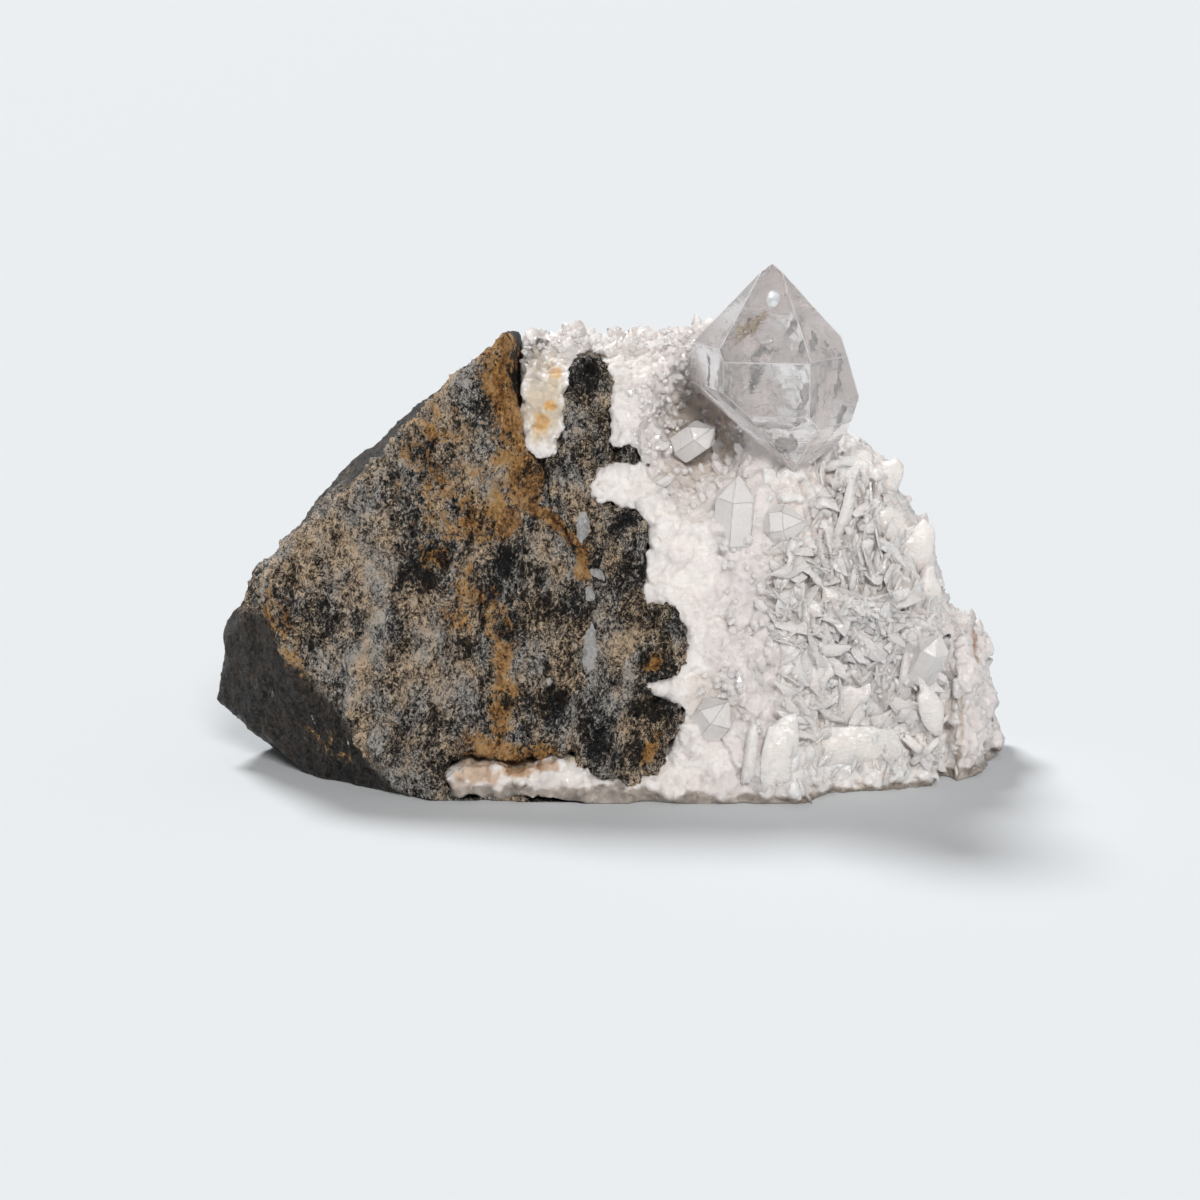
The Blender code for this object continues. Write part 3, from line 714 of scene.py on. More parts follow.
def patch_share(place, patches):
    """The strongest of the patches that a point lies in."""
    best = 0.0
    for x, z, across, up, strength in patches:
        if abs(place.x - x) < across * 2 and abs(place.z - z) < up * 2:
            best = max(best, strength * bump(place.x, place.z, (x, z), (across * 1.5, up * 1.5)))
    return best


def fleck_share(place):
    """1 on the threads of white quartz and 0 off them."""
    best = 0.0
    for x, z, half_width, half_height, lean in VEIN_FLECKS:
        dx, dz = place.x - x, place.z - z
        if abs(dx) > 4 or abs(dz) > 4:
            continue
        turn = math.radians(lean)
        across = (dx * math.cos(turn) - dz * math.sin(turn)) / half_width
        along = (dx * math.sin(turn) + dz * math.cos(turn)) / half_height
        wobble = 0.35 * noise.noise(place * 1.6)
        best = max(best, smooth_step((1.15 + wobble - math.hypot(across, along)) * 3))
    return best


def stain_share(place):
    """How strongly rust stains a point."""
    best = 0.0
    for half_width, strength, line in RUST_STAINS.values():
        away = distance_to_line(place.x, place.z, line) / half_width
        if away < 2.2:
            best = max(best, strength * smooth_step((2.2 - away) / 2.0))
    return best


def crack_depth(place):
    """Depth of the deepest open crack at a point."""
    deepest = 0.0
    for half_width, depth, line in CRACKS.values():
        wander = 0.5 * noise.noise(Vector((place.x * 0.5, 7.0, place.z * 0.5)))
        away = distance_to_line(place.x + wander, place.z, line) / half_width
        if away < 1:
            deepest = max(deepest, depth * (1 - away))
    return deepest


def rock_grain(place, dark):
    """Height of the grain: stretched up the foliation on the show face, faint on the dark faces."""
    bent = 0.9 * noise.noise(place * 0.16)
    tilted = Vector((place.x - 0.12 * place.z + bent, place.y, place.z))
    along = Vector((tilted.x * 0.85, tilted.y * 0.6, tilted.z * 0.45))
    ridges = 1 - 2.6 * abs(noise.noise(Vector((tilted.x * 0.42, tilted.y * 0.3, tilted.z * 0.12))))
    crumbs = noise.fractal(along * 1.6, 0.4, 2.1, 4)
    pits = max(0.0, noise.noise(along * 0.75 + Vector((3, 9, 1))) - 0.05)
    scales = noise.noise(Vector((place.x * 0.5, place.y * 0.5, place.z * 0.22)))
    folds = noise.fractal(Vector((tilted.x * 0.20, tilted.y * 0.2, tilted.z * 0.13 + 4)), 0.8, 2.2, 3)
    step = noise.noise(Vector((tilted.x * 0.30, 6.0, tilted.z * 0.22)))
    step = math.floor(3.4 * step + 0.5 * folds) / 3.4
    rough = 0.55 * ridges + 0.9 * crumbs - 2.6 * pits + 0.4 * scales + 0.9 * folds + 1.7 * step
    lines = noise.fractal(Vector((place.x * 0.25, place.y * 1.4, place.z * 0.25)), 0.6, 2.0, 3)
    smooth = 0.35 * scales + 0.3 * crumbs + 0.3 * lines
    return mix(rough, smooth, dark)


def refine(bm, wanted):
    """Halves the mesh size of the faces that a test on their centre and normal picks."""
    bm.normal_update()
    picked = [f for f in bm.faces if wanted(f.calc_center_median(), f.normal)]
    edges = dict.fromkeys(e for f in picked for e in f.edges)
    bmesh.ops.subdivide_edges(bm, edges=list(edges), cuts=1, use_grid_fill=True)


def soften(bm, rounds):
    """Evens out the steps that the voxels leave."""
    axes = {"use_axis_x": True, "use_axis_y": True, "use_axis_z": True}
    for _ in range(rounds):
        bmesh.ops.smooth_vert(bm, verts=bm.verts, factor=0.6, **axes)


def move_points(bm, moves):
    """Moves each point, less so near the flat base, and keeps all of them above it."""
    for vert, move in zip(bm.verts, moves):
        vert.co += move * smooth_step(vert.co.z / 0.8)
        vert.co.z = max(0.0, vert.co.z)


def dress_rock(obj, relief):
    """Raises the grain and the white threads, opens the cracks and marks the stains, with painted shade that
    makes the tone darker in the pits and cracks and paler on the crests.
    """
    bm = bmesh.new()
    bm.from_mesh(obj.data)
    soften(bm, 2)
    refine(bm, lambda centre, normal: normal.y < -0.2 and show_face_depth(centre) < 3.5)
    soften(bm, 1)
    bm.normal_update()
    marks, tone_and_painted_shade, moves = [], [], []
    for vert in bm.verts:
        place = vert.co.copy()
        front = smooth_step((3.6 - show_face_depth(place)) / 1.6)
        # the dark share is partly the smooth rock's own colour and partly painted shade of faces turned from
        # the light
        dark = dark_and_shaded_face_share(place)
        fleck = fleck_share(place) * (1 - 0.5 * dark) if place.y < 0 else 0.0
        stain = stain_share(place) * max(front, 0.35 * (place.y < 0))
        crack = crack_depth(place) * front
        knob = patch_share(place, [(x, z, r, r, 1.0) for x, z, r in KNOBS]) * front
        pale = patch_share(place, PALE_PATCHES) * front
        grain = rock_grain(place, dark)
        height = relief * grain * (1 - 0.6 * fleck) + 0.18 * fleck * (1 - dark) + 0.45 * knob - crack
        moves.append(vert.normal * height + spread_show_face(place))
        marks.append((stain, fleck, dark))
        # painted shade: the level is darker in the pits of the grain and in the cracks, and paler on the
        # crests
        tone_and_painted_shade.append((0.575 + 0.14 * grain - 0.8 * crack, knob, pale))
    move_points(bm, moves)
    bm.to_mesh(obj.data)
    bm.free()
    paint(obj.data, "marks", marks)
    paint(obj.data, "level", tone_and_painted_shade)


def expand(tree, value, gain):
    """The value's distance from a half, made larger."""
    return times(tree, minus(tree, value, 0.5), gain)


def thin_lines(tree, value, width):
    """1 along the lines where a noise crosses a half."""
    away = maths(tree, "ABSOLUTE", expand(tree, value, 1.0))
    return minus(tree, 1.0, between(tree, away, width * 0.35, width))


def brighter(shade, factor):
    """A colour made brighter or darker by a factor, with none of its parts past full."""
    return colour([min(1.0, value * factor) for value in shade])


def grain_colour(tree, tone, gaps, settings):
    """Black, grey and buff grains by their tone, warmer and cooler in patches, with dark gaps."""
    stops = [
        (0.42, colour(settings.dark)), (0.57, brighter(settings.grey, 0.42)), (0.70, colour(settings.grey)),
        (0.83, brighter(settings.buff, 1.2)), (0.97, brighter(settings.buff, 2.1)),
    ]
    body = ramp(tree, tone, stops)
    warmth = cloud(tree, millimetres(tree, (0.3, 0.3, 0.2)), 1.0, 3.0)
    hue = ramp(tree, warmth, [(0.40, (0.88, 0.95, 1.06, 1)), (0.60, (1.14, 1.0, 0.84, 1))])
    body = blend(tree, 1.0, body, hue, "MULTIPLY")
    return blend(tree, times(tree, gaps, 0.85), body, brighter(settings.dark, 0.5))


def slick_and_shaded_colour(tree, leaf):
    """The smooth broken faces: near black, partly their own colour and partly painted shade, with pale
    streaks and brown clouds.
    """
    streaks = cloud(tree, millimetres(tree, (0.9, 0.9, 0.35), (0, math.radians(-12), 0)), 1.2, 8.0, 0.72)
    slick = ramp(tree, streaks, [
        (0.40, (0.003, 0.003, 0.004, 1)), (0.54, (0.008, 0.007, 0.007, 1)),
        (0.63, (0.032, 0.028, 0.025, 1)), (0.72, (0.20, 0.18, 0.17, 1)),
    ])
    brown = between(tree, cloud(tree, leaf, 0.18, 4.0, 0.6), 0.50, 0.62)
    return blend(tree, times(tree, brown, 0.75), slick, (0.030, 0.019, 0.012, 1))


def with_rust(tree, body, coarse, grains, stain, level, rust):
    """Lays rust over the grains where the stain is, broken up by them."""
    broken = plus(tree, expand(tree, coarse, 2.6), expand(tree, grains, 2.6))
    rusty = between(tree, plus(tree, stain, broken), 0.34, 0.80)
    rusty = times(tree, rusty, between(tree, stain, 0.03, 0.22))
    stops = [
        (0.20, brighter(rust, 0.25)), (0.50, brighter(rust, 0.8)),
        (0.70, brighter(rust, 1.5)), (0.95, (0.72, 0.50, 0.27, 1)),
    ]
    # the rust's tone follows the level, so it carries the same painted shade of pits, cracks and crests
    warm = ramp(tree, plus(tree, expand(tree, grains, 2.4), level), stops)
    return blend(tree, times(tree, rusty, 0.85), body, warm)


def with_flecks(tree, body, grains, fleck):
    """Lays white quartz with a frayed rim over the rock."""
    white = blend(tree, between(tree, grains, 0.35, 0.6), (0.62, 0.60, 0.57, 1), (0.95, 0.94, 0.93, 1))
    frayed = plus(tree, fleck, expand(tree, grains, 0.9))
    return blend(tree, between(tree, frayed, 0.45, 0.62), body, white)


def rock_material(settings):
    """Dark foliated rock: black, grey and buff grains with pale threads, rust and white flecks."""
    material, tree, shader = start_material("dark foliated rock")
    stain, fleck, dark = painted_parts(tree, "marks")
    # the level carries painted shade: darker in the pits and cracks, paler on the crests
    level, knob, pale = painted_parts(tree, "level")

    leaf = millimetres(tree, (1.0, 0.9, 0.75), (0, math.radians(-7), 0))
    coarse = cloud(tree, leaf, 0.6, 3.0, 0.6, 0.5)
    grains = cloud(tree, leaf, 2.4, 6.0, 0.75, 0.7)
    patches = cloud(tree, millimetres(tree, (0.16, 0.16, 0.10)), 1.0, 3.0)
    curls = thin_lines(tree, cloud(tree, leaf, 0.85, 3.0, 0.55, 1.4), 0.085)
    threads = thin_lines(tree, cloud(tree, leaf, 2.0, 4.0, 0.6, 1.0), 0.075)
    gaps = thin_lines(tree, cloud(tree, leaf, 0.7, 5.0, 0.65, 1.0), 0.02)
    tone = plus(tree, times(tree, curls, 0.24), times(tree, threads, 0.24))
    tone = plus(tree, tone, plus(tree, expand(tree, coarse, 0.7), expand(tree, grains, 2.2)))
    tone = plus(tree, tone, plus(tree, level, expand(tree, patches, 0.7)))
    tone = plus(tree, tone, times(tree, pale, 0.18))
    tone = minus(tree, tone, times(tree, knob, 0.32))

    body = grain_colour(tree, tone, gaps, settings)
    # near black on the dark faces: partly their own colour, partly painted shade
    body = blend(tree, times(tree, dark, 0.94), body, slick_and_shaded_colour(tree, leaf))
    body = with_rust(tree, body, coarse, grains, stain, level, settings.rust)
    body = with_flecks(tree, body, grains, fleck)
    tree.links.new(body, shader.inputs["Base Color"])

    shader.inputs["Specular IOR Level"].default_value = 0.2
    dull = blend(tree, maths(tree, "MAXIMUM", dark, knob), (0.72, 0.72, 0.72, 1), (0.42, 0.42, 0.42, 1))
    glint = between(tree, random_cells(tree, leaf, 2.6), 0.80, 0.86)
    tree.links.new(blend(tree, glint, dull, (0.20, 0.20, 0.20, 1)), shader.inputs["Roughness"])
    height = plus(tree, times(tree, coarse, 1.6), times(tree, grains, 0.8))
    height = plus(tree, height, times(tree, plus(tree, curls, threads), 0.11))
    height = minus(tree, height, times(tree, gaps, 0.12))
    height = times(tree, height, minus(tree, 1.0, times(tree, dark, 0.65)))
    bumpy(tree, shader, height, 1.2)
    return material


class SPECIMEN_OT_wall_rock(bpy.types.Operator):
    """Dress the dark wall rock with its grain, cracks, rust and white flecks"""

    bl_idname = "specimen.wall_rock"
    bl_label = "Wall rock"

    def execute(self, context):
        settings = context.scene.specimen_rock
        obj = object_from(merged_copy("host_rock"), "wall_rock")
        remesh(obj, settings.voxel)
        dress_rock(obj, settings.relief)
        to_metres(obj)
        obj.data.shade_smooth()
        obj.data.materials.append(rock_material(settings))
        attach(obj, "root")
        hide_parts("host_rock")
        return {"FINISHED"}


# White vein quartz


def crust_depth(x, z):
    """Y of the crust's front at a place on the show face, as the solid has it."""
    depth = FACE_Y + FACE_LEAN * z - PROUD
    depth += 5.0 * smooth_step((x - 20.5) / 6) + 0.22 * max(0.0, x - 27.0)
    pocket = 12.5 * bump(x, z, (POCKET_X, POCKET_Z), (8.0, 10.0)) * (1 - smooth_step((x - 15.6) / 1.8))
    seat = 7.0 * bump(x, z, (20.0, 46.0), (14.5, 15.5))
    depth += max(pocket, seat)
    away = math.hypot((x - POCKET_X) / 8.2, (z - POCKET_Z) / 10.2)
    depth -= 1.1 * math.exp(-(((away - 1) / 0.16) ** 2)) * smooth_step((44 - z) / 6)
    depth += 1.6 * bump(x, z, (29.0, 13.0), (10.0, 9.0))
    crevice = math.exp(-(((x - 38.8) / 1.3) ** 2)) * smooth_step((19.0 - z) / 4)
    end_wall = smooth_step((x - 39.4) / 1.4) * smooth_step((18.5 - z) / 3)
    depth += 5.0 * crevice * (1 - end_wall)
    depth += end_wall * (-10.0 + 0.2 * z - depth)
    lump = noise.fractal(Vector((x, 3.0, z)) * 0.28, 1.0, 2.0, 3)
    depth -= CRUST_LUMP * 2 * lump
    edge = min(1.0, distance_to_line(x, z, CRUST_CONTOUR) / CRUST_SHOULDER)
    round_off = 1 - math.sqrt(max(0.0, 1 - (1 - edge) ** 2))
    deepest = CRUST_BACK - 2.5
    return min(deepest, depth + round_off * (deepest - depth))


def crust_front(x, z):
    """The crust's front, kept as proud of the rough rock all along their shared edge."""
    depth = crust_depth(x, z)
    near_rock = smooth_step(1.3 - distance_to_line(x, z, ROCK_EDGE) / 5.0)
    if near_rock > 0:
        depth -= near_rock * rock_relief(Vector((x, FACE_Y + FACE_LEAN * z, z)))
    return depth


def crust_mould():
    """The crust's outline with ragged lobes, extruded from front to back."""
    bm = bmesh.new()
    outline = [bm.verts.new((x, 0, z)) for x, z in ROCK_EDGE + CRUST_CONTOUR]
    face = bm.faces.new(outline)
    while True:
        long_edges = [edge for edge in bm.edges if edge.calc_length() > 0.8]
        if not long_edges:
            break
        bmesh.ops.subdivide_edges(bm, edges=long_edges, cuts=1)
    ring = list(face.verts)
    area = sum(a.co.x * b.co.z - b.co.x * a.co.z for a, b in zip(ring, ring[1:] + ring[:1]))
    side = 1 if area > 0 else -1
    places = []
    for index, vert in enumerate(ring):
        along = ring[(index + 1) % len(ring)].co - ring[index - 1].co
        out = Vector((along.z, 0, -along.x)).normalized() * side
        x, z = vert.co.x, vert.co.z
        on_rock = distance_to_line(x, z, ROCK_EDGE) < distance_to_line(x, z, CRUST_CONTOUR)
        ragged = noise.fractal(Vector((x, 0.0, z)) * 0.75, 0.5, 2.0, 3)
        grow = max(0.1, 0.35 + 0.7 * ragged) if on_rock else 0.7 * ragged - 0.2
        places.append(vert.co + out * grow)
    for vert, place in zip(ring, places):
        vert.co = place
    bmesh.ops.translate(bm, verts=bm.verts, vec=(0, -60.0, 0))
    rim = bmesh.ops.extrude_face_region(bm, geom=[face])["geom"]
    far = [v for v in rim if isinstance(v, bmesh.types.BMVert)]
    bmesh.ops.translate(bm, verts=far, vec=(0, 60.0 + CRUST_BACK, 0))
    return object_from(bm, "crust mould")


def crust_block(name, grid, front):
    """A stretch of the crust's front as a fine relief grid, closed behind."""
    cell, (left, bottom), (right, top) = grid
    columns = round((right - left) / cell)
    rows = round((top - bottom) / cell)
    bm = bmesh.new()
    bmesh.ops.create_grid(bm, x_segments=columns, y_segments=rows, size=0.5)
    for vert in bm.verts:
        x = left + (vert.co.x + 0.5) * (right - left)
        z = bottom + (vert.co.y + 0.5) * (top - bottom)
        vert.co = Vector((x, front(x, z), z))
    rim = [e for e in bm.edges if e.is_boundary]
    wall = bmesh.ops.extrude_edge_only(bm, edges=rim)["geom"]
    for vert in (v for v in wall if isinstance(v, bmesh.types.BMVert)):
        vert.co.y = CRUST_BACK + 6.0
    back = [e for e in wall if isinstance(e, bmesh.types.BMEdge) and e.is_boundary]
    bmesh.ops.edgenet_fill(bm, edges=back)
    return object_from(bm, name)


def trim(obj, mould):
    """Cuts a block to the crust's outline and to the level that the specimen rests on."""
    modifier = obj.modifiers.new("outline", "BOOLEAN")
    modifier.operation = "INTERSECT"
    modifier.solver = "MANIFOLD"
    modifier.object = mould
    apply_modifiers(obj)
    bpy.data.objects.remove(mould, do_unlink=True)
    bm = bmesh.new()
    bm.from_mesh(obj.data)
    everything = [*bm.verts, *bm.edges, *bm.faces]
    cut = bmesh.ops.bisect_plane(
        bm, geom=everything, plane_co=(0, 0, 0), plane_no=(0, 0, -1), clear_outer=True, dist=1e-5
    )["geom_cut"]
    edges = [e for e in cut if isinstance(e, bmesh.types.BMEdge) and e.is_boundary]
    bmesh.ops.edgenet_fill(bm, edges=edges)
    bmesh.ops.recalc_face_normals(bm, faces=bm.faces)
    bm.to_mesh(obj.data)
    bm.free()


def column_share(x, z):
    """1 on the smooth milky column under the large crystal."""
    return smooth_step((x - 15.4) / 1.2) * smooth_step((25.0 - x) / 4) * smooth_step((z - 29.0) / 4)


def blade_ground_share(x, z):
    """1 in the hollow that the blades fill."""
    return smooth_step((x - 17.5) / 3) * smooth_step((40.6 - x) / 1.5) * smooth_step((38.0 - z) / 2.5)


def face_height(place, size):
    """Height of flat crystal faces of about this size in mm, each leaning its own way."""
    middle = noise.voronoi(place / size)[1][0]
    lean = noise.noise_vector(middle * 3.1 + Vector((0.3, 0.7, 0.1)))
    return (place / size - middle).dot(lean.normalized())


def sugar_height(place):
    """Soft lumps broken into flat faces, crisper on the top edge."""
    x, z = place.x, place.z
    lumps = noise.fractal(place * 0.26, 0.8, 2.0, 3)
    fine = noise.fractal(place * 1.1, 0.6, 2.0, 3)
    crisp = max(smooth_step((z - 45.0) / 4.0), bump(x, z, (9.5, 45.0), (8.0, 8.0)))
    glassy = smooth_step((x - 10.0) / 3.0) * smooth_step((34.0 - z) / 3)
    broad = 2.6 * face_height(place, 3.6) + 1.0 * face_height(place, 1.5)
    faces = 1.6 * face_height(place, 2.6) + 0.9 * face_height(place, 1.2) * (1 + crisp)
    height = 1.2 * lumps + mix(faces * (0.55 + 0.6 * crisp), broad, glassy) + 0.25 * fine * (1 - glassy)
    return height * (1 - 0.85 * column_share(x, z))


def crust_tint_and_painted_light_and_shade(place, settings):
    """Colour of the crust at a place: white and stained, with a pocket wall that is grey partly as painted
    shade, beige painted shade deep in the pocket and in the hollows, darker painted shade under the blades
    and along the top edge, painted light on the end wall, and darker towards the very bottom.
    """
    x, z = place.x, place.z
    tint = Vector(settings.white)
    behind = place.y - (FACE_Y + FACE_LEAN * z)
    # the pocket wall's grey is partly the quartz's own translucent look and partly painted shade
    around = bump(x, z, (10.5, 42.0), (11.0, 15.0))
    tint = tint.lerp(Vector(settings.wall), min(1.0, 1.1 * around) * (1 - column_share(x, z)))
    # painted shade: darker the deeper the crust lies behind the show face in the pocket
    deep = smooth_step((behind - 3.5) / 6.0) * bump(x, z, (11.5, 38.5), (9.0, 10.0))
    tint = tint.lerp(Vector(settings.hollow), min(1.0, 1.3 * deep))
    # painted shade: darker on the ground under the blades
    tint = tint.lerp(Vector(CRUST_TINTS["under the blades"]), 0.75 * blade_ground_share(x, z))
    tint = tint.lerp(Vector(CRUST_TINTS["milky column"]), 0.8 * column_share(x, z))
    # painted light: the end wall is painted brighter
    end = smooth_step((x - 39.6) / 1.2) * smooth_step((18.5 - z) / 3)
    tint = tint.lerp(Vector(CRUST_TINTS["end wall"]), 0.8 * end)
    cloud_share = noise.fractal(place * 0.35, 0.8, 2.0, 3)
    glassy = smooth_step((x - 10.0 - 1.5 * cloud_share) / 3.0) * smooth_step((34.0 - z) / 3)
    tint = tint.lerp(Vector(CRUST_TINTS["glassy middle"]), 0.8 * glassy)
    # painted shade: the top edge is painted darker
    top = smooth_step((z - 45.5) / 4.0)
    tint = tint.lerp(Vector(CRUST_TINTS["top edge"]), 0.5 * top)
    tint *= 1.0 + 0.07 * cloud_share
    if place.y < 2.0:
        wobble = 0.5 * noise.fractal(place * 0.9, 0.8, 2.0, 3)
        # stains, and painted shade in the pocket and in hollows
        for sx, sz, rx, rz, strength, shade in CRUST_STAINS_AND_HOLLOW_SHADE:
            away = math.hypot((x - sx) / rx, (z - sz) / rz) + wobble
            if away < 1.2:
                tint = tint.lerp(Vector(shade), strength * smooth_step((1.2 - away) / 0.5))
    # darker towards the very bottom, in darker and paler patches
    foot = smooth_step((1.5 + 0.9 * smooth_step((6.0 - x) / 8) + 1.0 * cloud_share - z) / 0.6)
    paleness = 0.5 + 0.5 * noise.noise(place * 0.9)
    foot_colour = Vector(CRUST_TINTS["darkest at the foot"]).lerp(Vector(CRUST_TINTS["palest at the foot"]), paleness)
    return tint.lerp(foot_colour, 0.9 * foot)


def dress_crust(obj, settings):
    """Raises the sugary grain and the crystal faces, and paints the crust's tint."""
    bm = bmesh.new()
    bm.from_mesh(obj.data)
    soften(bm, 2)
    refine(
        bm,
        lambda centre, normal: centre.y < 6.0
        and (normal.y < -0.1 or normal.z > 0.5)
        and blade_ground_share(centre.x, centre.z) < 0.5,
    )
    soften(bm, 1)
    bm.normal_update()
    moves = []
    for vert in bm.verts:
        under = blade_ground_share(vert.co.x, vert.co.z) * smooth_step((3.0 - vert.co.y) / 3.0)
        height = settings.sugar * sugar_height(vert.co) * (1 - under) - 1.0 * under
        sway = noise.noise_vector(vert.co * 0.8) * 0.25 + noise.noise_vector(vert.co * 2.1) * 0.06
        moves.append(vert.normal * height + sway * (1 - under))
    move_points(bm, moves)
    tints = [crust_tint_and_painted_light_and_shade(v.co, settings) for v in bm.verts]
    bm.to_mesh(obj.data)
    bm.free()
    paint(obj.data, "tint", tints)


def crust_material():
    """Milky white quartz that lets light in, sugary in patches and glassy elsewhere."""
    material, tree, shader = start_material("sugary white quartz")
    place = millimetres(tree)
    soft = cloud(tree, place, 0.9, 8.0, 0.7)
    milky_body(tree, shader, soft, 0.55, 0.0014)
    patch = between(tree, cloud(tree, place, 0.22, 3.0, 0.6), 0.44, 0.56)
    white = between(tree, painted_parts(tree, "tint")[0], 0.84, 0.90)
    dull = plus(tree, 0.24, times(tree, maths(tree, "MAXIMUM", patch, white), 0.30))
    speckle = between(tree, random_cells(tree, place, 1.6), 0.62, 0.72)
    tree.links.new(blend(tree, speckle, dull, (0.11, 0.11, 0.11, 1)), shader.inputs["Roughness"])
    faces = plus(tree, facets(tree, place, 1.6), times(tree, facets(tree, place, 0.7), 0.5))
    bumpy(tree, shader, plus(tree, times(tree, soft, 0.30), times(tree, faces, 0.55)), 1.0)
    return material


class SPECIMEN_OT_vein_quartz(bpy.types.Operator):
    """Grow the sugary white quartz crust with its pocket, stains and milky column"""

    bl_idname = "specimen.vein_quartz"
    bl_label = "White vein quartz"

    def execute(self, context):
        settings = context.scene.specimen_crust
        obj = crust_block("vein_quartz", CRUST_GRID, crust_front)
        trim(obj, crust_mould())
        remesh(obj, settings.voxel)
        dress_crust(obj, settings)
        to_metres(obj)
        obj.data.shade_smooth()
        obj.data.materials.clear()
        obj.data.materials.append(crust_material())
        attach(obj, "root")
        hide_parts("quartz_crust")
        return {"FINISHED"}


# Quartz points


def search_tree(name):
    """A search tree of a finished piece, in millimetres."""
    mesh = bpy.data.objects[name].data
    points = [v.co * MM_PER_METRE for v in mesh.vertices]
    return BVHTree.FromPolygons(points, [tuple(p.vertices) for p in mesh.polygons])


def quartz_point(bm, place, direction, radius, length, spin):
    """A six-sided prism with a pointed end, standing half sunk at a place."""
    made = bmesh.ops.create_cone(
        bm, cap_ends=True, segments=6, radius1=radius, radius2=radius, depth=length
    )["verts"]
    top = [v for v in made if v.co.z > 0]
    face = next(f for f in top[0].link_faces if all(v in top for v in f.verts))
    poked = bmesh.ops.poke(bm, faces=[face], offset=radius * 1.05)["verts"]
    turn = Vector((0, 0, 1)).rotation_difference(direction).to_matrix().to_4x4()
    stand = Matrix.Translation(place) @ turn @ Matrix.Rotation(spin, 4, "Z")
    bmesh.ops.transform(bm, matrix=stand, verts=made + poked)


def in_pocket(x, z):
    """Whether a place on the show face lies in the pocket."""
    return math.hypot((x - POCKET_X) / 7.5, (z - POCKET_Z) / 9.6) < 1


def scatter_points(bm, surface, source, count, across, up, radii, slender, pocket_only):
    """Small crystals on the crust, each along the surface's normal with a tilt of its own."""
    for _ in range(count):
        x = source.uniform(*across)
        z = source.uniform(*up)
        radius = source.uniform(*radii)
        tilt = Vector((source.gauss(0, 1), source.gauss(0, 1), source.gauss(0, 1))) * 0.35
        spin = source.uniform(0, math.pi)
        stretch = source.uniform(*slender)
        if pocket_only and not in_pocket(x, z):
            continue
        hit, normal, _, _ = surface.ray_cast(Vector((x, IN_FRONT, z)), TO_THE_BACK)
        if hit is None:
            continue
        direction = (normal + tilt + Vector((0, 0, 0.15))).normalized()
        length = radius * stretch
        quartz_point(bm, hit + direction * (0.08 * length), direction, radius, length, spin)


def glassy_material(name, tint, clear, rough, frost):
    """Quartz that is partly clear, with faint growth lines in its gloss."""
    material, tree, shader = start_material(name)
    place = millimetres(tree)
    veil = cloud(tree, place, 0.9, 4.0, 0.6)
    pale = tuple(min(1.0, value * 1.06) for value in tint)
    body = blend(tree, between(tree, veil, 0.35, 0.65), colour(tint), colour(pale))
    tree.links.new(body, shader.inputs["Base Color"])
    lines = cloud(tree, millimetres(tree, (0.6, 0.6, 4.0)), 1.2, 3.0)
    gloss = plus(tree, times(tree, lines, rough), frost)
    tree.links.new(gloss, shader.inputs["Roughness"])
    shader.inputs["IOR"].default_value = QUARTZ_IOR
    shader.inputs["Transmission Weight"].default_value = clear
    bumpy(tree, shader, lines, 0.02, 0.35)
    return material


class SPECIMEN_OT_druse(bpy.types.Operator):
    """Stud the pocket, the top edge and the hollows with small quartz points"""

    bl_idname = "specimen.druse"
    bl_label = "Druse"

    def execute(self, context):
        surfaces = {"crust": search_tree("vein_quartz"), "blades": search_tree("bladed_quartz")}
        source = random.Random(DRUSE_SEED)
        bm = bmesh.new()
        for ground, *field in DRUSE_FIELDS:
            scatter_points(bm, surfaces[ground], source, *field)
        obj = object_from(bm, "druse_points")
        to_metres(obj)
        obj.data.shade_flat()
        obj.data.materials.append(glassy_material("druse quartz", (0.95, 0.925, 0.92), 0.35, 0.2, 0.04))
        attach(obj, "root")
        return {"FINISHED"}


# Blades


def outline_width(share, kind):
    """Width of a plate at a share of its half length."""
    if kind == "leaf":
        return math.sqrt(max(0.0, 1 - share ** 2)) * 0.9 + 0.1
    if kind == "round":
        return max(0.0, 1 - share ** 3) ** 0.5 * 0.8 + 0.2
    return 1.0 - 0.3 * share ** 2


def quartz_plate(bm, width, length, thickness, bend, slant, reaches, kind, stand, rows, columns):
    """A plate with an uneven rim that thins towards it, oblique ends and a slight bend."""
    made = bmesh.ops.create_grid(bm, x_segments=columns, y_segments=rows, size=1.0)["verts"]
    depths = {}
    for vert in made:
        u, v = vert.co.x, vert.co.y
        turn = math.atan2(v, u) / (2 * math.pi) * len(reaches)
        low = math.floor(turn)
        reach = mix(reaches[low % len(reaches)], reaches[(low + 1) % len(reaches)], turn - low)
        out = max(abs(u), abs(v))
        reach = mix(1.0, reach, out)
        x = u * width / 2 * outline_width(abs(v), kind) * reach
        z = (v * reach + slant * u * abs(v) * width / length) * length / 2
        y = bend * (v * v - 0.4) + 0.25 * bend * u * v
        depth = thickness * (1 - 0.6 * out ** 3)
        vert.co = Vector((x, y - depth / 2, z))
        depths[tuple(vert.co)] = depth
    near = set(made)
    front = list(dict.fromkeys(f for vert in made for f in vert.link_faces))
    grown = bmesh.ops.extrude_face_region(bm, geom=front)["geom"]
    far = [v for v in grown if isinstance(v, bmesh.types.BMVert)]
    for vert in far:
        vert.co.y += depths[tuple(vert.co)]
        for face in vert.link_faces:
            sides = sum(1 for v in face.verts if v in near)
            if 0 < sides < len(face.verts):
                face.material_index = 1
    bmesh.ops.transform(bm, matrix=stand, verts=made + far)


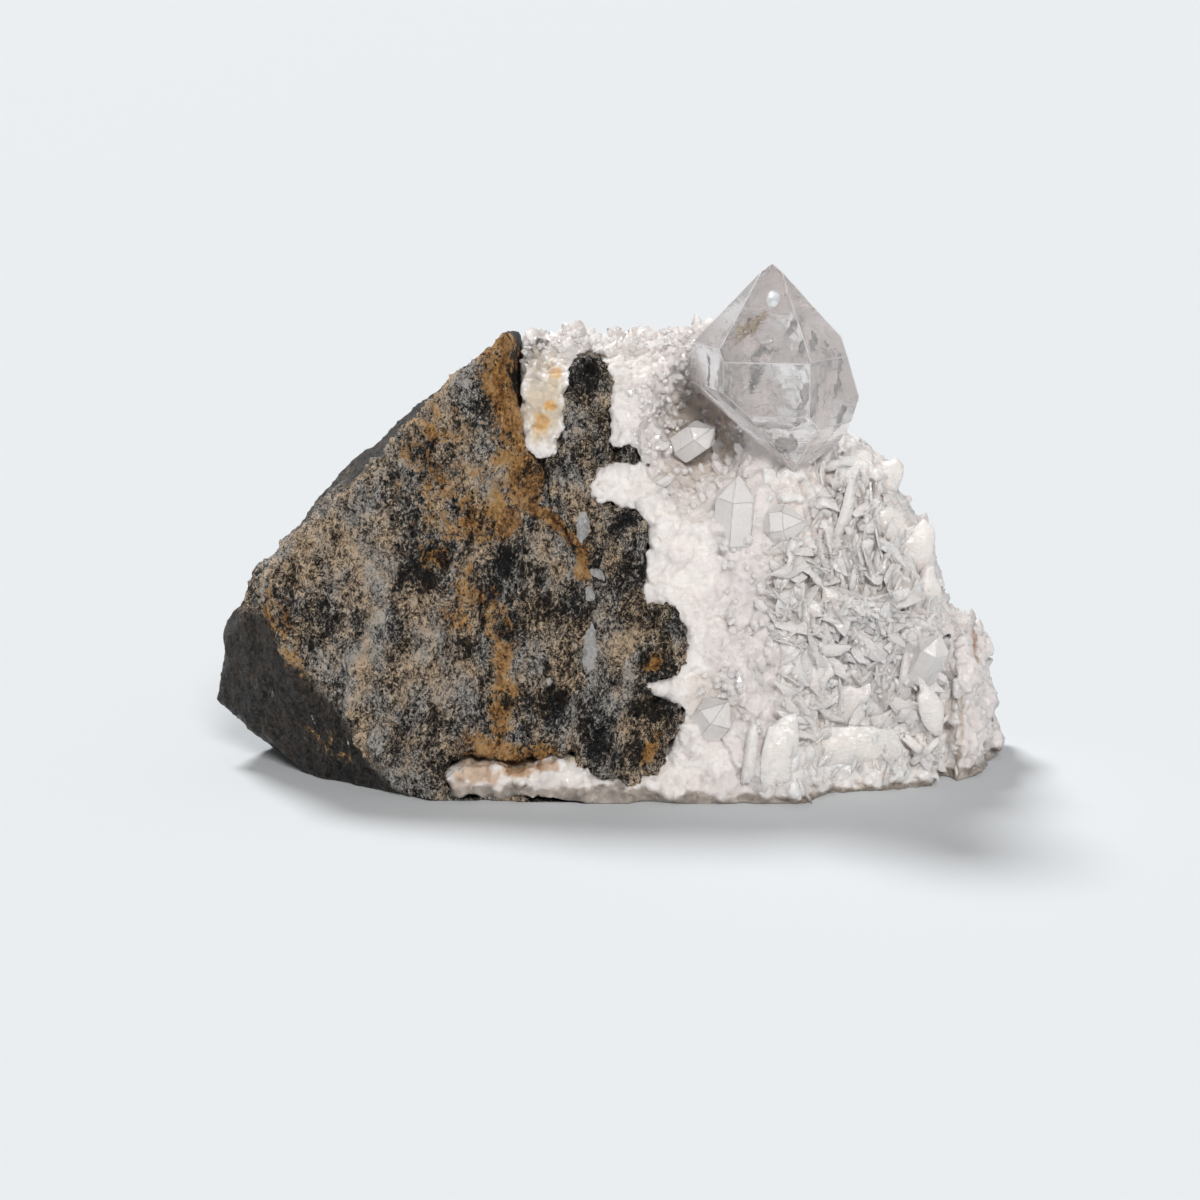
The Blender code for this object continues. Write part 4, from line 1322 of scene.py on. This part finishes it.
def stand_matrix(place, turn, lean, roll):
    """Turns a plate about its length, leans it to the front, rolls it in the face and puts it in place."""
    spin = Matrix.Rotation(math.radians(turn), 4, "Z")
    tip = Matrix.Rotation(math.radians(lean), 4, "X")
    swing = Matrix.Rotation(math.radians(-roll), 4, "Y")
    return Matrix.Translation(place) @ swing @ tip @ spin


def blade_bed_depth(x, z):
    """Depth of the quartz that the blades are rooted in, with its hollows."""
    ground = blade_ground_share(x, z)
    depth = crust_front(x, z) + 0.9 * (1 - ground)
    flow = Vector((x * 0.5, 2.0, z * 0.14))
    ribs = 0.4 - abs(noise.noise(flow)) * 2.2
    broken = noise.fractal(Vector((x, 9.0, z)) * 0.7, 0.7, 2.0, 3)
    depth -= (0.8 * ribs * smooth_step((z - 20.0) / 4) + 0.7 * broken) * ground
    for hx, hz, rx, rz, deep in BLADE_HOLLOWS:
        depth += deep * bump(x, z, (hx, hz), (rx * 1.5, rz * 1.5))
    return depth


def grow_large_plates(bm):
    """Adds the large plates, each at its own place."""
    source = random.Random(BLADE_SEED)
    for x, z, ahead, width, length, thickness, turn, lean, roll, kind in PLATES.values():
        reaches = [source.uniform(0.82, 1.08) for _ in range(9)]
        slant = source.uniform(-0.6, 0.6)
        middle = crust_depth(x, z) - 0.75 * ahead + thickness / 2
        stand = stand_matrix((x, middle, z), turn, lean, roll)
        quartz_plate(bm, width, length, thickness, BLADE_CURL, slant, reaches, kind, stand, 14, 7)


def grow_blades(bm, fields, seed, surface_at):
    """Blades sunk in the crust so that only their outer edges stand off it."""
    source = random.Random(seed)
    for count, across, up, lengths, widths, rolls, turns, depths, proud in fields.values():
        for index in range(count):
            x, z = source.uniform(*across), source.uniform(*up)
            length, width = source.uniform(*lengths), source.uniform(*widths)
            reaches = [source.uniform(0.6, 1.15) for _ in range(7)]
            turn = source.uniform(*turns) * source.choice((-1, 1))
            lean, roll = source.uniform(-14, 18), source.uniform(*rolls)
            thickness, ahead = source.uniform(*depths), source.uniform(*proud)
            bend, slant = source.uniform(-BLADE_CURL, BLADE_CURL), source.uniform(-1.2, 1.2)
            too_near = distance_to_line(x, z, CRUST_CONTOUR) < 0.5 + 0.4 * length
            if too_near or not inside_outline(x, z, ROCK_EDGE + CRUST_CONTOUR):
                continue
            surface = surface_at(x, z)
            if surface is None or z < 0.5 * length * abs(math.cos(math.radians(roll))) + 0.2:
                continue
            reach = abs(math.sin(math.radians(turn))) * width / 2
            stand = stand_matrix((x, surface - ahead + reach, z), turn, lean, roll)
            kind = ("lath", "leaf", "lath")[index % 3]
            quartz_plate(bm, width, length, thickness, bend, slant, reaches, kind, stand, 5, 2)


def hollowness(bm, rounds):
    """How far each point lies below its surroundings, in mm: above 0 in gaps, below 0 on edges."""
    bm.normal_update()
    bend = []
    for vert in bm.verts:
        near = [edge.other_vert(vert).co for edge in vert.link_edges]
        middle = sum(near, Vector()) / len(near)
        bend.append((middle - vert.co).dot(vert.normal))
    rings = [[edge.other_vert(vert).index for edge in vert.link_edges] for vert in bm.verts]
    for _ in range(rounds):
        bend = [0.4 * own + 0.6 * sum(bend[i] for i in ring) / len(ring) for own, ring in zip(bend, rings)]
    return bend


def blade_tint_and_painted_shade_and_highlight(place, gap, settings):
    """Milky white, greyer where it turns glassy, with beige painted shade where it lies deep and in the
    gaps, and palest on the edges, partly as their white frost and partly as painted highlight.
    """
    x, z = place.x, place.z
    tint = Vector(settings.blade)
    glassy = bump(x, z, (30.5, 15.0), (11.0, 9.0))
    tint = tint.lerp(Vector(BLADE_TINTS["glassy middle"]), 0.8 * glassy)
    # painted shade: darker the deeper a point lies behind the crust's front
    sunk = smooth_step((place.y - crust_depth(x, z) + 0.2) / 2.2) * (place.y < 4.0)
    tint = tint.lerp(Vector(BLADE_TINTS["sunk"]), 0.55 * sunk)
    # painted shade in the gaps
    tint = tint.lerp(Vector(BLADE_TINTS["gaps"]), 0.45 * smooth_step(gap * 22))
    # edges paler, partly as white frost and partly as painted highlight
    tint = tint.lerp(Vector(BLADE_TINTS["edges"]), 0.9 * smooth_step(-gap * 16))
    grains = smooth_step((noise.noise(place * 0.45) + 0.5 - abs(z - 2.6) / 2.4) * 2)
    tint = tint.lerp(Vector(BLADE_TINTS["white grains"]), 0.8 * grains)
    foot = smooth_step((1.0 + 0.8 * noise.noise(place * 0.8) - z) / 0.5)
    return tint.lerp(Vector(BLADE_TINTS["foot"]), 0.85 * foot)


def dress_bed(obj, settings):
    """Roughens the blades' bed and marks its glassy middle, its pale edges, partly painted highlight, and
    the painted shade in its gaps and low places.
    """
    bm = bmesh.new()
    bm.from_mesh(obj.data)
    bm.normal_update()
    moves = []
    for vert in bm.verts:
        place = vert.co
        chips = noise.fractal(place * 0.9, 0.6, 2.0, 3)
        faces = 0.9 * face_height(place, 3.0) + 0.22 * face_height(place, 1.1)
        moves.append(vert.normal * (0.06 * chips + faces))
    move_points(bm, moves)
    tints = [blade_tint_and_painted_shade_and_highlight(vert.co, gap, settings) for vert, gap in zip(bm.verts, hollowness(bm, 1))]
    bm.to_mesh(obj.data)
    bm.free()
    paint(obj.data, "tint", tints)


def tint_plates(obj, settings):
    """Marks loose plates with the tint of the place they stand in, paler on their rims, partly as white
    frost and partly as painted highlight.
    """
    places = [vert.co.copy() for vert in obj.data.vertices]
    on_rim = [0] * len(places)
    for face in obj.data.polygons:
        if face.material_index == 1:
            for index in face.vertices:
                on_rim[index] = 1
    # rims count as edges: paler, partly white frost and partly painted highlight
    gaps = [-0.035 * rim for rim in on_rim]
    paint(obj.data, "tint", [blade_tint_and_painted_shade_and_highlight(place, gap, settings) for place, gap in zip(places, gaps)])
    for face in obj.data.polygons:
        face.material_index = 0


def frosty_material():
    """Milky blades: soft light inside, fine growth lines and a patchy gloss."""
    material, tree, shader = start_material("frosty quartz")
    place = millimetres(tree)
    soft = cloud(tree, place, 1.2, 5.0, 0.6)
    milky_body(tree, shader, soft, 0.6, 0.0010)
    shader.inputs["Transmission Weight"].default_value = 0.15
    share = between(tree, random_cells(tree, place, 1.4), 0.55, 0.65)
    gloss = blend(tree, share, (0.40, 0.40, 0.40, 1), (0.12, 0.12, 0.12, 1))
    tree.links.new(gloss, shader.inputs["Roughness"])
    lines = cloud(tree, millimetres(tree, (0.5, 0.5, 3.0), (0, math.radians(20), 0)), 1.4, 3.0)
    chips = times(tree, plus(tree, soft, lines), 0.10)
    bumpy(tree, shader, plus(tree, chips, times(tree, facets(tree, place, 1.4), 0.30)), 1.0)
    return material


def grow_bed(settings):
    """The blades' bed: a block of crust with ribs fused into it."""
    bed = crust_block("bladed_quartz", BED_GRID, blade_bed_depth)
    trim(bed, crust_mould())
    bm = bmesh.new()
    bm.from_mesh(bed.data)
    grow_blades(bm, RIB_FIELDS, BLADE_SEED + 1, crust_depth)
    bmesh.ops.recalc_face_normals(bm, faces=bm.faces)
    bm.to_mesh(bed.data)
    bm.free()
    remesh(bed, settings.blade_voxel)
    dress_bed(bed, settings)
    to_metres(bed)
    bed.data.shade_smooth()
    return bed


def grow_plates(settings):
    """The large plates, smooth over their slight bends."""
    bm = bmesh.new()
    grow_large_plates(bm)
    plates = object_from(bm, "large_plates")
    tint_plates(plates, settings)
    to_metres(plates)
    plates.data.shade_smooth()
    plates.data.set_sharp_from_angle(angle=math.radians(32))
    return plates


def grow_crisp_blades(settings):
    """Thin blades that stand on the finished bed."""
    surface = search_tree("bladed_quartz")

    def bed_depth(x, z):
        hit = surface.ray_cast(Vector((x, IN_FRONT, z)), TO_THE_BACK)[0]
        return hit.y if hit else None

    bm = bmesh.new()
    grow_blades(bm, CRISP_FIELDS, BLADE_SEED + 2, bed_depth)
    crisp = object_from(bm, "crisp_blades")
    tint_plates(crisp, settings)
    to_metres(crisp)
    crisp.data.shade_flat()
    return crisp


class SPECIMEN_OT_blades(bpy.types.Operator):
    """Fuse fans of quartz ribs into the crust, set the large plates in it and add crisp blades on top"""

    bl_idname = "specimen.blades"
    bl_label = "Quartz blades"

    def execute(self, context):
        settings = context.scene.specimen_crystal
        material = frosty_material()
        for piece in (grow_bed(settings), grow_plates(settings), grow_crisp_blades(settings)):
            piece.data.materials.clear()
            piece.data.materials.append(material)
            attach(piece, "root")
        return {"FINISHED"}


# Clear crystals


def faceted_copy(node_name):
    """The crystal's own faces, joined back from the node's triangles."""
    bm = merged_copy(node_name)
    bmesh.ops.dissolve_limit(bm, angle_limit=math.radians(1.5), verts=bm.verts, edges=bm.edges)
    return bm


def wear_edges(bm, width):
    """Rounds the crystal's edges and gives the narrow new faces the second material."""
    sharp = [e for e in bm.edges if len(e.link_faces) == 2 and e.calc_face_angle() > math.radians(12)]
    worn = bmesh.ops.bevel(
        bm, geom=sharp, offset=width, segments=2, profile=0.5, affect="EDGES",
        material=-1, clamp_overlap=True,
    )["faces"]
    for face in worn:
        face.material_index = 1


def worn_material(name):
    """The pale, finely chipped quartz of worn edges."""
    material, tree, shader = start_material(name)
    place = millimetres(tree)
    chips = cloud(tree, place, 2.2, 5.0, 0.7)
    shade = blend(tree, between(tree, chips, 0.40, 0.60), (0.80, 0.76, 0.75, 1), (0.98, 0.96, 0.95, 1))
    tree.links.new(shade, shader.inputs["Base Color"])
    shader.inputs["Roughness"].default_value = 0.28
    shader.inputs["IOR"].default_value = QUARTZ_IOR
    shader.inputs["Transmission Weight"].default_value = 0.7
    bumpy(tree, shader, chips, 0.2)
    return material


def clear_material(name, tint, clear, rough):
    """Clear quartz: striated, finely etched faces and a slight tint in its depth."""
    material, tree, shader = start_material(name)
    shader.inputs["Base Color"].default_value = colour(tint)
    shader.inputs["IOR"].default_value = QUARTZ_IOR
    shader.inputs["Transmission Weight"].default_value = clear
    smear = between(tree, cloud(tree, millimetres(tree), 0.5, 4.0, 0.6), 0.50, 0.66)
    tree.links.new(times(tree, smear, rough), shader.inputs["Roughness"])
    lines = cloud(tree, millimetres(tree, (0.25, 0.25, 2.6)), 1.0, 4.0, 0.6)
    crackle = cloud(tree, millimetres(tree), 0.6, 5.0, 0.62, 0.8)
    etched = between(tree, cloud(tree, millimetres(tree), 0.22, 3.0, 0.6), 0.46, 0.58)
    chips = times(tree, facets(tree, millimetres(tree, (1.0, 1.0, 0.6)), 1.1), etched)
    height = plus(tree, times(tree, lines, 0.06), times(tree, crackle, 0.10))
    height = plus(tree, height, times(tree, chips, 0.16))
    bumpy(tree, shader, height, 1.0)
    tinted = node(tree, "VolumeAbsorption", {})
    tinted.inputs["Color"].default_value = DEPTH_TINT
    tinted.inputs["Density"].default_value = DEPTH_TINT_STRENGTH
    tree.links.new(tinted.outputs[0], tree.nodes["Material Output"].inputs["Volume"])
    return material


def veil_flakes(bm, source, centre, spread, count, sizes):
    """A cloud of tiny flat flakes inside the crystal, as healed cracks and bubbles leave."""
    for _ in range(count):
        size = source.uniform(*sizes)
        made = bmesh.ops.create_cone(
            bm, cap_ends=True, segments=5, radius1=size, radius2=size * 0.7, depth=size * 0.25
        )["verts"]
        offset = Vector([source.gauss(0, 0.5) * reach for reach in spread])
        tip = Matrix.Rotation(source.uniform(0, math.pi), 4, "X")
        turn = tip @ Matrix.Rotation(source.uniform(0, math.pi), 4, "Z")
        bmesh.ops.transform(bm, matrix=Matrix.Translation(Vector(centre) + offset) @ turn, verts=made)


def veil_sheet(bm, source, centre, size, angles):
    """A thin crumpled sheet, as a healed crack leaves."""
    steps = max(2, round(size[1] * 4))
    made = bmesh.ops.create_grid(bm, x_segments=round(size[0] * 4) + 3, y_segments=steps, size=0.5)["verts"]
    shift = Vector([source.uniform(0, 50) for _ in range(3)])
    for vert in made:
        x, y = vert.co.x * size[0], vert.co.y * size[1]
        pinch = 1 - 0.75 * abs(2 * vert.co.x) ** 3
        ripple = 0.5 * noise.fractal(Vector((x, y, 0)) * 0.8 + shift, 0.5, 2.1, 4)
        ripple += 0.30 * face_height(Vector((x, y, 0)) + shift, 0.7)
        fray = 1 + 0.9 * noise.noise(Vector((x, y, 5)) * 1.4 + shift)
        vert.co = Vector((x, y * pinch * fray, ripple))
    sheet = list(dict.fromkeys(face for vert in made for face in vert.link_faces))
    thick = bmesh.ops.solidify(bm, geom=sheet, thickness=0.05)["geom"]
    every = list(dict.fromkeys(made + [v for v in thick if isinstance(v, bmesh.types.BMVert)]))
    tip = Matrix.Rotation(math.radians(90 + angles[0]), 4, "X")
    slope = Matrix.Rotation(math.radians(-angles[1]), 4, "Y")
    turn = Matrix.Rotation(math.radians(angles[2]), 4, "Z") @ slope @ tip
    bmesh.ops.transform(bm, matrix=Matrix.Translation(centre) @ turn, verts=every)
    return list(dict.fromkeys(face for vert in every for face in vert.link_faces))


def keep_inside(bm, crystal):
    """Draws the points that reach past the crystal's faces back inside them."""
    skin = BVHTree.FromBMesh(crystal)
    crystal.free()
    middle = Vector(CRYSTAL_MIDDLE)
    for vert in bm.verts:
        away = vert.co - middle
        hit = skin.ray_cast(middle, away.normalized())[3]
        if hit and away.length > CRACK_REACH * hit:
            vert.co = middle + away.normalized() * (CRACK_REACH * hit)


def painted_highlight_pane(bm, place):
    """A painted highlight: the small pale pane near the upper tip, lying on the crystal's front face."""
    crystal = faceted_copy("herkimer_crystal")
    start = Vector((place[0], -40.0, place[1]))
    spot, normal = BVHTree.FromBMesh(crystal).ray_cast(start, TO_THE_BACK)[:2]
    crystal.free()
    pane = bmesh.ops.create_cone(
        bm, cap_ends=True, segments=7, radius1=1.0, radius2=0.95, depth=0.06
    )["verts"]
    bmesh.ops.scale(bm, vec=(0.8, 1.25, 1.0), verts=pane)
    turn = normal.to_track_quat("Z", "Y").to_matrix().to_4x4()
    bmesh.ops.transform(bm, matrix=Matrix.Translation(spot + 0.01 * normal) @ turn, verts=pane)
    return list(dict.fromkeys(face for vert in pane for face in vert.link_faces))


def sheet_material(name, tint, clear, mirror):
    """A healed crack: glints and fine mottling on a clear, milky or mirror-like sheet; also the pale pane of
    painted highlight.
    """
    material, tree, shader = start_material(name)
    place = millimetres(tree)
    mottle = cloud(tree, place, 1.6, 6.0, 0.7)
    dim = tuple(value * 0.72 for value in tint)
    shade = blend(tree, between(tree, mottle, 0.40, 0.60), colour(dim), colour(tint))
    tree.links.new(shade, shader.inputs["Base Color"])
    shader.inputs["Roughness"].default_value = 0.1
    shader.inputs["IOR"].default_value = CRACK_IOR
    shader.inputs["Transmission Weight"].default_value = clear
    shader.inputs["Metallic"].default_value = mirror
    height = plus(tree, times(tree, mottle, 0.1), times(tree, facets(tree, place, 2.6), 0.3))
    bumpy(tree, shader, height, 1.0)
    return material


def veil_material():
    """The pale flakes of healed cracks and bubbles."""
    material, tree, shader = start_material("healed crack")
    place = millimetres(tree)
    shade = blend(tree, cloud(tree, place, 2.0), (0.80, 0.76, 0.73, 1), (0.97, 0.95, 0.94, 1))
    tree.links.new(shade, shader.inputs["Base Color"])
    shader.inputs["Roughness"].default_value = 0.25
    shader.inputs["IOR"].default_value = CRACK_IOR
    shader.inputs["Transmission Weight"].default_value = 0.5
    return material


def fine_cracks(source):
    """Thin cracks anywhere in the crystal, then a sheaf of brown ones near its left face."""
    cracks = [
        (
            (source.gauss(19.0, 3.4), source.uniform(-14.5, -7.0), source.gauss(46.0, 3.8)),
            (source.uniform(0.6, 3.0), source.uniform(0.07, 0.24)),
            (source.uniform(-40, 40), source.uniform(-80, 80), source.uniform(-40, 40)),
            ("pale", "mirror")[index % 2],
        )
        for index in range(120)
    ]
    cracks += [
        (
            (source.gauss(15.7, 0.7), source.uniform(-12.8, -12.2), source.gauss(52.6, 0.6)),
            (source.uniform(2.2, 4.4), source.uniform(0.16, 0.36)),
            (source.uniform(-15, 15), source.gauss(41, 5), source.uniform(5, 25)),
            "brown",
        )
        for _ in range(16)
    ]
    return cracks


def grow_flakes(source):
    """The clouds of flakes, kept inside the crystal."""
    bm = bmesh.new()
    for cloud_of_flakes in VEIL_CLOUDS:
        veil_flakes(bm, source, *cloud_of_flakes)
    keep_inside(bm, faceted_copy("herkimer_crystal"))
    return object_from(bm, "crystal_veils")


def grow_cracks(source):
    """The healed cracks, kept inside the crystal, and the pale pane of painted highlight on its face."""
    kinds = list(CRACK_KINDS)
    bm = bmesh.new()
    for centre, size, angles, kind in (*VEIL_SHEETS, *fine_cracks(source)):
        for face in veil_sheet(bm, source, centre, size, angles):
            face.material_index = kinds.index(kind)
    keep_inside(bm, faceted_copy("herkimer_crystal"))
    for face in painted_highlight_pane(bm, HIGHLIGHT_PANE_PLACE):
        face.material_index = kinds.index("painted highlight")
    return object_from(bm, "crystal_sheets")


class SPECIMEN_OT_large_crystal(bpy.types.Operator):
    """Dress the large double-ended crystal with worn edges and healed cracks inside"""

    bl_idname = "specimen.large_crystal"
    bl_label = "Large crystal"

    def execute(self, context):
        settings = context.scene.specimen_crystal
        bm = faceted_copy("herkimer_crystal")
        wear_edges(bm, settings.edge)
        obj = object_from(bm, "large_crystal")
        to_metres(obj)
        obj.data.shade_flat()
        obj.data.materials.append(clear_material("clear quartz", settings.tint, 0.95, 0.10))
        obj.data.materials.append(worn_material("worn edges"))
        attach(obj, "root")
        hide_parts("herkimer_crystal")

        source = random.Random(VEIL_SEED)
        flakes = grow_flakes(source)
        to_metres(flakes)
        flakes.data.shade_flat()
        flakes.data.materials.append(veil_material())
        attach(flakes, "root")

        sheets = grow_cracks(source)
        to_metres(sheets)
        sheets.data.shade_smooth()
        for finish in CRACK_KINDS.values():
            sheets.data.materials.append(sheet_material(*finish))
        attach(sheets, "root")
        return {"FINISHED"}


class SPECIMEN_OT_small_crystals(bpy.types.Operator):
    """Dress the five small crystals"""

    bl_idname = "specimen.small_crystals"
    bl_label = "Small crystals"

    def execute(self, context):
        settings = context.scene.specimen_crystal
        material = clear_material("clear quartz of the small crystals", (1.0, 0.98, 0.965), 0.35, 0.22)
        worn = worn_material("worn edges of the small crystals")
        for name in SMALL_CRYSTALS:
            bm = faceted_copy(name)
            wear_edges(bm, settings.edge * 0.55)
            obj = object_from(bm, "clear_" + name)
            to_metres(obj)
            obj.data.shade_flat()
            obj.data.materials.append(material)
            obj.data.materials.append(worn)
            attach(obj, "root")
            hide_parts(name)
        return {"FINISHED"}


# Stage


def lay_floor(shade):
    """The pale matt floor."""
    bm = bmesh.new()
    bmesh.ops.create_grid(bm, x_segments=1, y_segments=1, size=30.0)
    obj = object_from(bm, "pale_floor")
    material, _, shader = start_material("pale matt floor")
    shader.inputs["Base Color"].default_value = colour(shade)
    shader.inputs["Roughness"].default_value = 0.9
    shader.inputs["Specular IOR Level"].default_value = 0.1
    obj.data.materials.append(material)


def hang_light(name, azimuth, elevation, power, softness, shade):
    """A soft light from far off, at an azimuth from the front and a height above the floor."""
    lamp = bpy.data.lights.new(name, "SUN")
    lamp.energy = power
    lamp.angle = math.radians(softness)
    lamp.color = shade
    obj = bpy.data.objects.new(name, lamp)
    bpy.context.scene.collection.objects.link(obj)
    az, el = math.radians(azimuth), math.radians(elevation)
    out = Vector((math.sin(az) * math.cos(el), -math.cos(az) * math.cos(el), math.sin(el)))
    obj.location = out * 2
    obj.rotation_euler = out.to_track_quat("Z", "Y").to_euler()


def light_world():
    """An even pale sky for the light, and the floor's own colour wherever the camera sees past it."""
    world = bpy.data.worlds.new("studio")
    bpy.context.scene.world = world
    world.use_nodes = True
    tree = world.node_tree
    background = tree.nodes["Background"]
    seen = node(tree, "Background", {"Color": (0.815, 0.847, 0.871, 1), "Strength": 1.0})
    background.inputs["Color"].default_value = (0.97, 0.98, 1.0, 1)
    paths = node(tree, "LightPath", {}).outputs
    in_glass = maths(tree, "MAXIMUM", paths["Is Transmission Ray"], paths["Is Glossy Ray"])
    way = node(tree, "TexCoord", {}).outputs["Generated"]
    height = node(tree, "SeparateXYZ", {0: way}).outputs["Z"]
    upward = plus(tree, 0.31, times(tree, between(tree, height, 0.0, 0.55), 0.50))
    strength = plus(tree, times(tree, in_glass, upward), 0.16)
    tree.links.new(strength, background.inputs["Strength"])
    mixed = {0: paths["Is Camera Ray"], 1: background.outputs[0], 2: seen.outputs[0]}
    both = node(tree, "MixShader", mixed)
    tree.links.new(both.outputs[0], tree.nodes["World Output"].inputs["Surface"])


def set_camera(settings):
    """The camera, in front of the specimen and a little above it."""
    camera = bpy.data.cameras.new("camera")
    camera.lens = settings.lens
    camera.sensor_width = 36.0
    camera.clip_start = 0.01
    camera.clip_end = 100.0
    obj = bpy.data.objects.new("camera", camera)
    bpy.context.scene.collection.objects.link(obj)
    out = Vector((0, -math.cos(settings.elevation), math.sin(settings.elevation)))
    obj.location = Vector(CAMERA_TARGET) + out * settings.distance
    obj.rotation_euler = out.to_track_quat("Z", "Y").to_euler()
    bpy.context.scene.camera = obj


class SPECIMEN_OT_stage(bpy.types.Operator):
    """Set the floor, the soft lights and the camera"""

    bl_idname = "specimen.stage"
    bl_label = "Stage"

    def execute(self, context):
        settings = context.scene.specimen_stage
        set_camera(settings)
        lay_floor(settings.floor)
        light_world()
        for name, light in STUDIO_LIGHTS.items():
            hang_light(name, *light)
        scene = context.scene
        scene.view_settings.view_transform = "Standard"
        scene.cycles.use_denoising = True
        scene.cycles.max_bounces = 24
        scene.cycles.transmission_bounces = 20
        scene.cycles.glossy_bounces = 6
        scene.cycles.diffuse_bounces = 4
        return {"FINISHED"}


# Panel and registration


class SPECIMEN_PT_panel(bpy.types.Panel):
    """Lists the pieces and their settings"""

    bl_idname = "SPECIMEN_PT_panel"
    bl_label = "Quartz specimen"
    bl_space_type = "VIEW_3D"
    bl_region_type = "UI"
    bl_category = "Specimen"

    def draw(self, context):
        layout = self.layout
        for operator in OPERATORS:
            layout.operator(operator.bl_idname)
        for name in SETTINGS:
            group = getattr(context.scene, name)
            box = layout.box()
            for key in group.bl_rna.properties.keys():
                if key not in ("rna_type", "name"):
                    box.prop(group, key)


OPERATORS = (
    SPECIMEN_OT_stage,
    SPECIMEN_OT_wall_rock,
    SPECIMEN_OT_vein_quartz,
    SPECIMEN_OT_blades,
    SPECIMEN_OT_druse,
    SPECIMEN_OT_large_crystal,
    SPECIMEN_OT_small_crystals,
)
SETTINGS = {
    "specimen_rock": RockSettings,
    "specimen_crust": CrustSettings,
    "specimen_crystal": CrystalSettings,
    "specimen_stage": StageSettings,
}


def register():
    """Registers the classes, and fixes the noise so that each run grows the same shapes."""
    noise.seed_set(NOISE_SEED)
    for group in (*SETTINGS.values(), *OPERATORS, SPECIMEN_PT_panel):
        bpy.utils.register_class(group)
    for name, group in SETTINGS.items():
        setattr(bpy.types.Scene, name, bpy.props.PointerProperty(type=group))


def unregister():
    """Takes the settings and the classes away again."""
    for name in SETTINGS:
        delattr(bpy.types.Scene, name)
    for group in reversed((*SETTINGS.values(), *OPERATORS, SPECIMEN_PT_panel)):
        bpy.utils.unregister_class(group)


def main():
    """Builds the whole specimen."""
    register()
    bpy.ops.specimen.stage()
    bpy.ops.specimen.wall_rock()
    bpy.ops.specimen.vein_quartz()
    bpy.ops.specimen.blades()
    bpy.ops.specimen.druse()
    bpy.ops.specimen.large_crystal()
    bpy.ops.specimen.small_crystals()


if __name__ == "__main__":
    main()
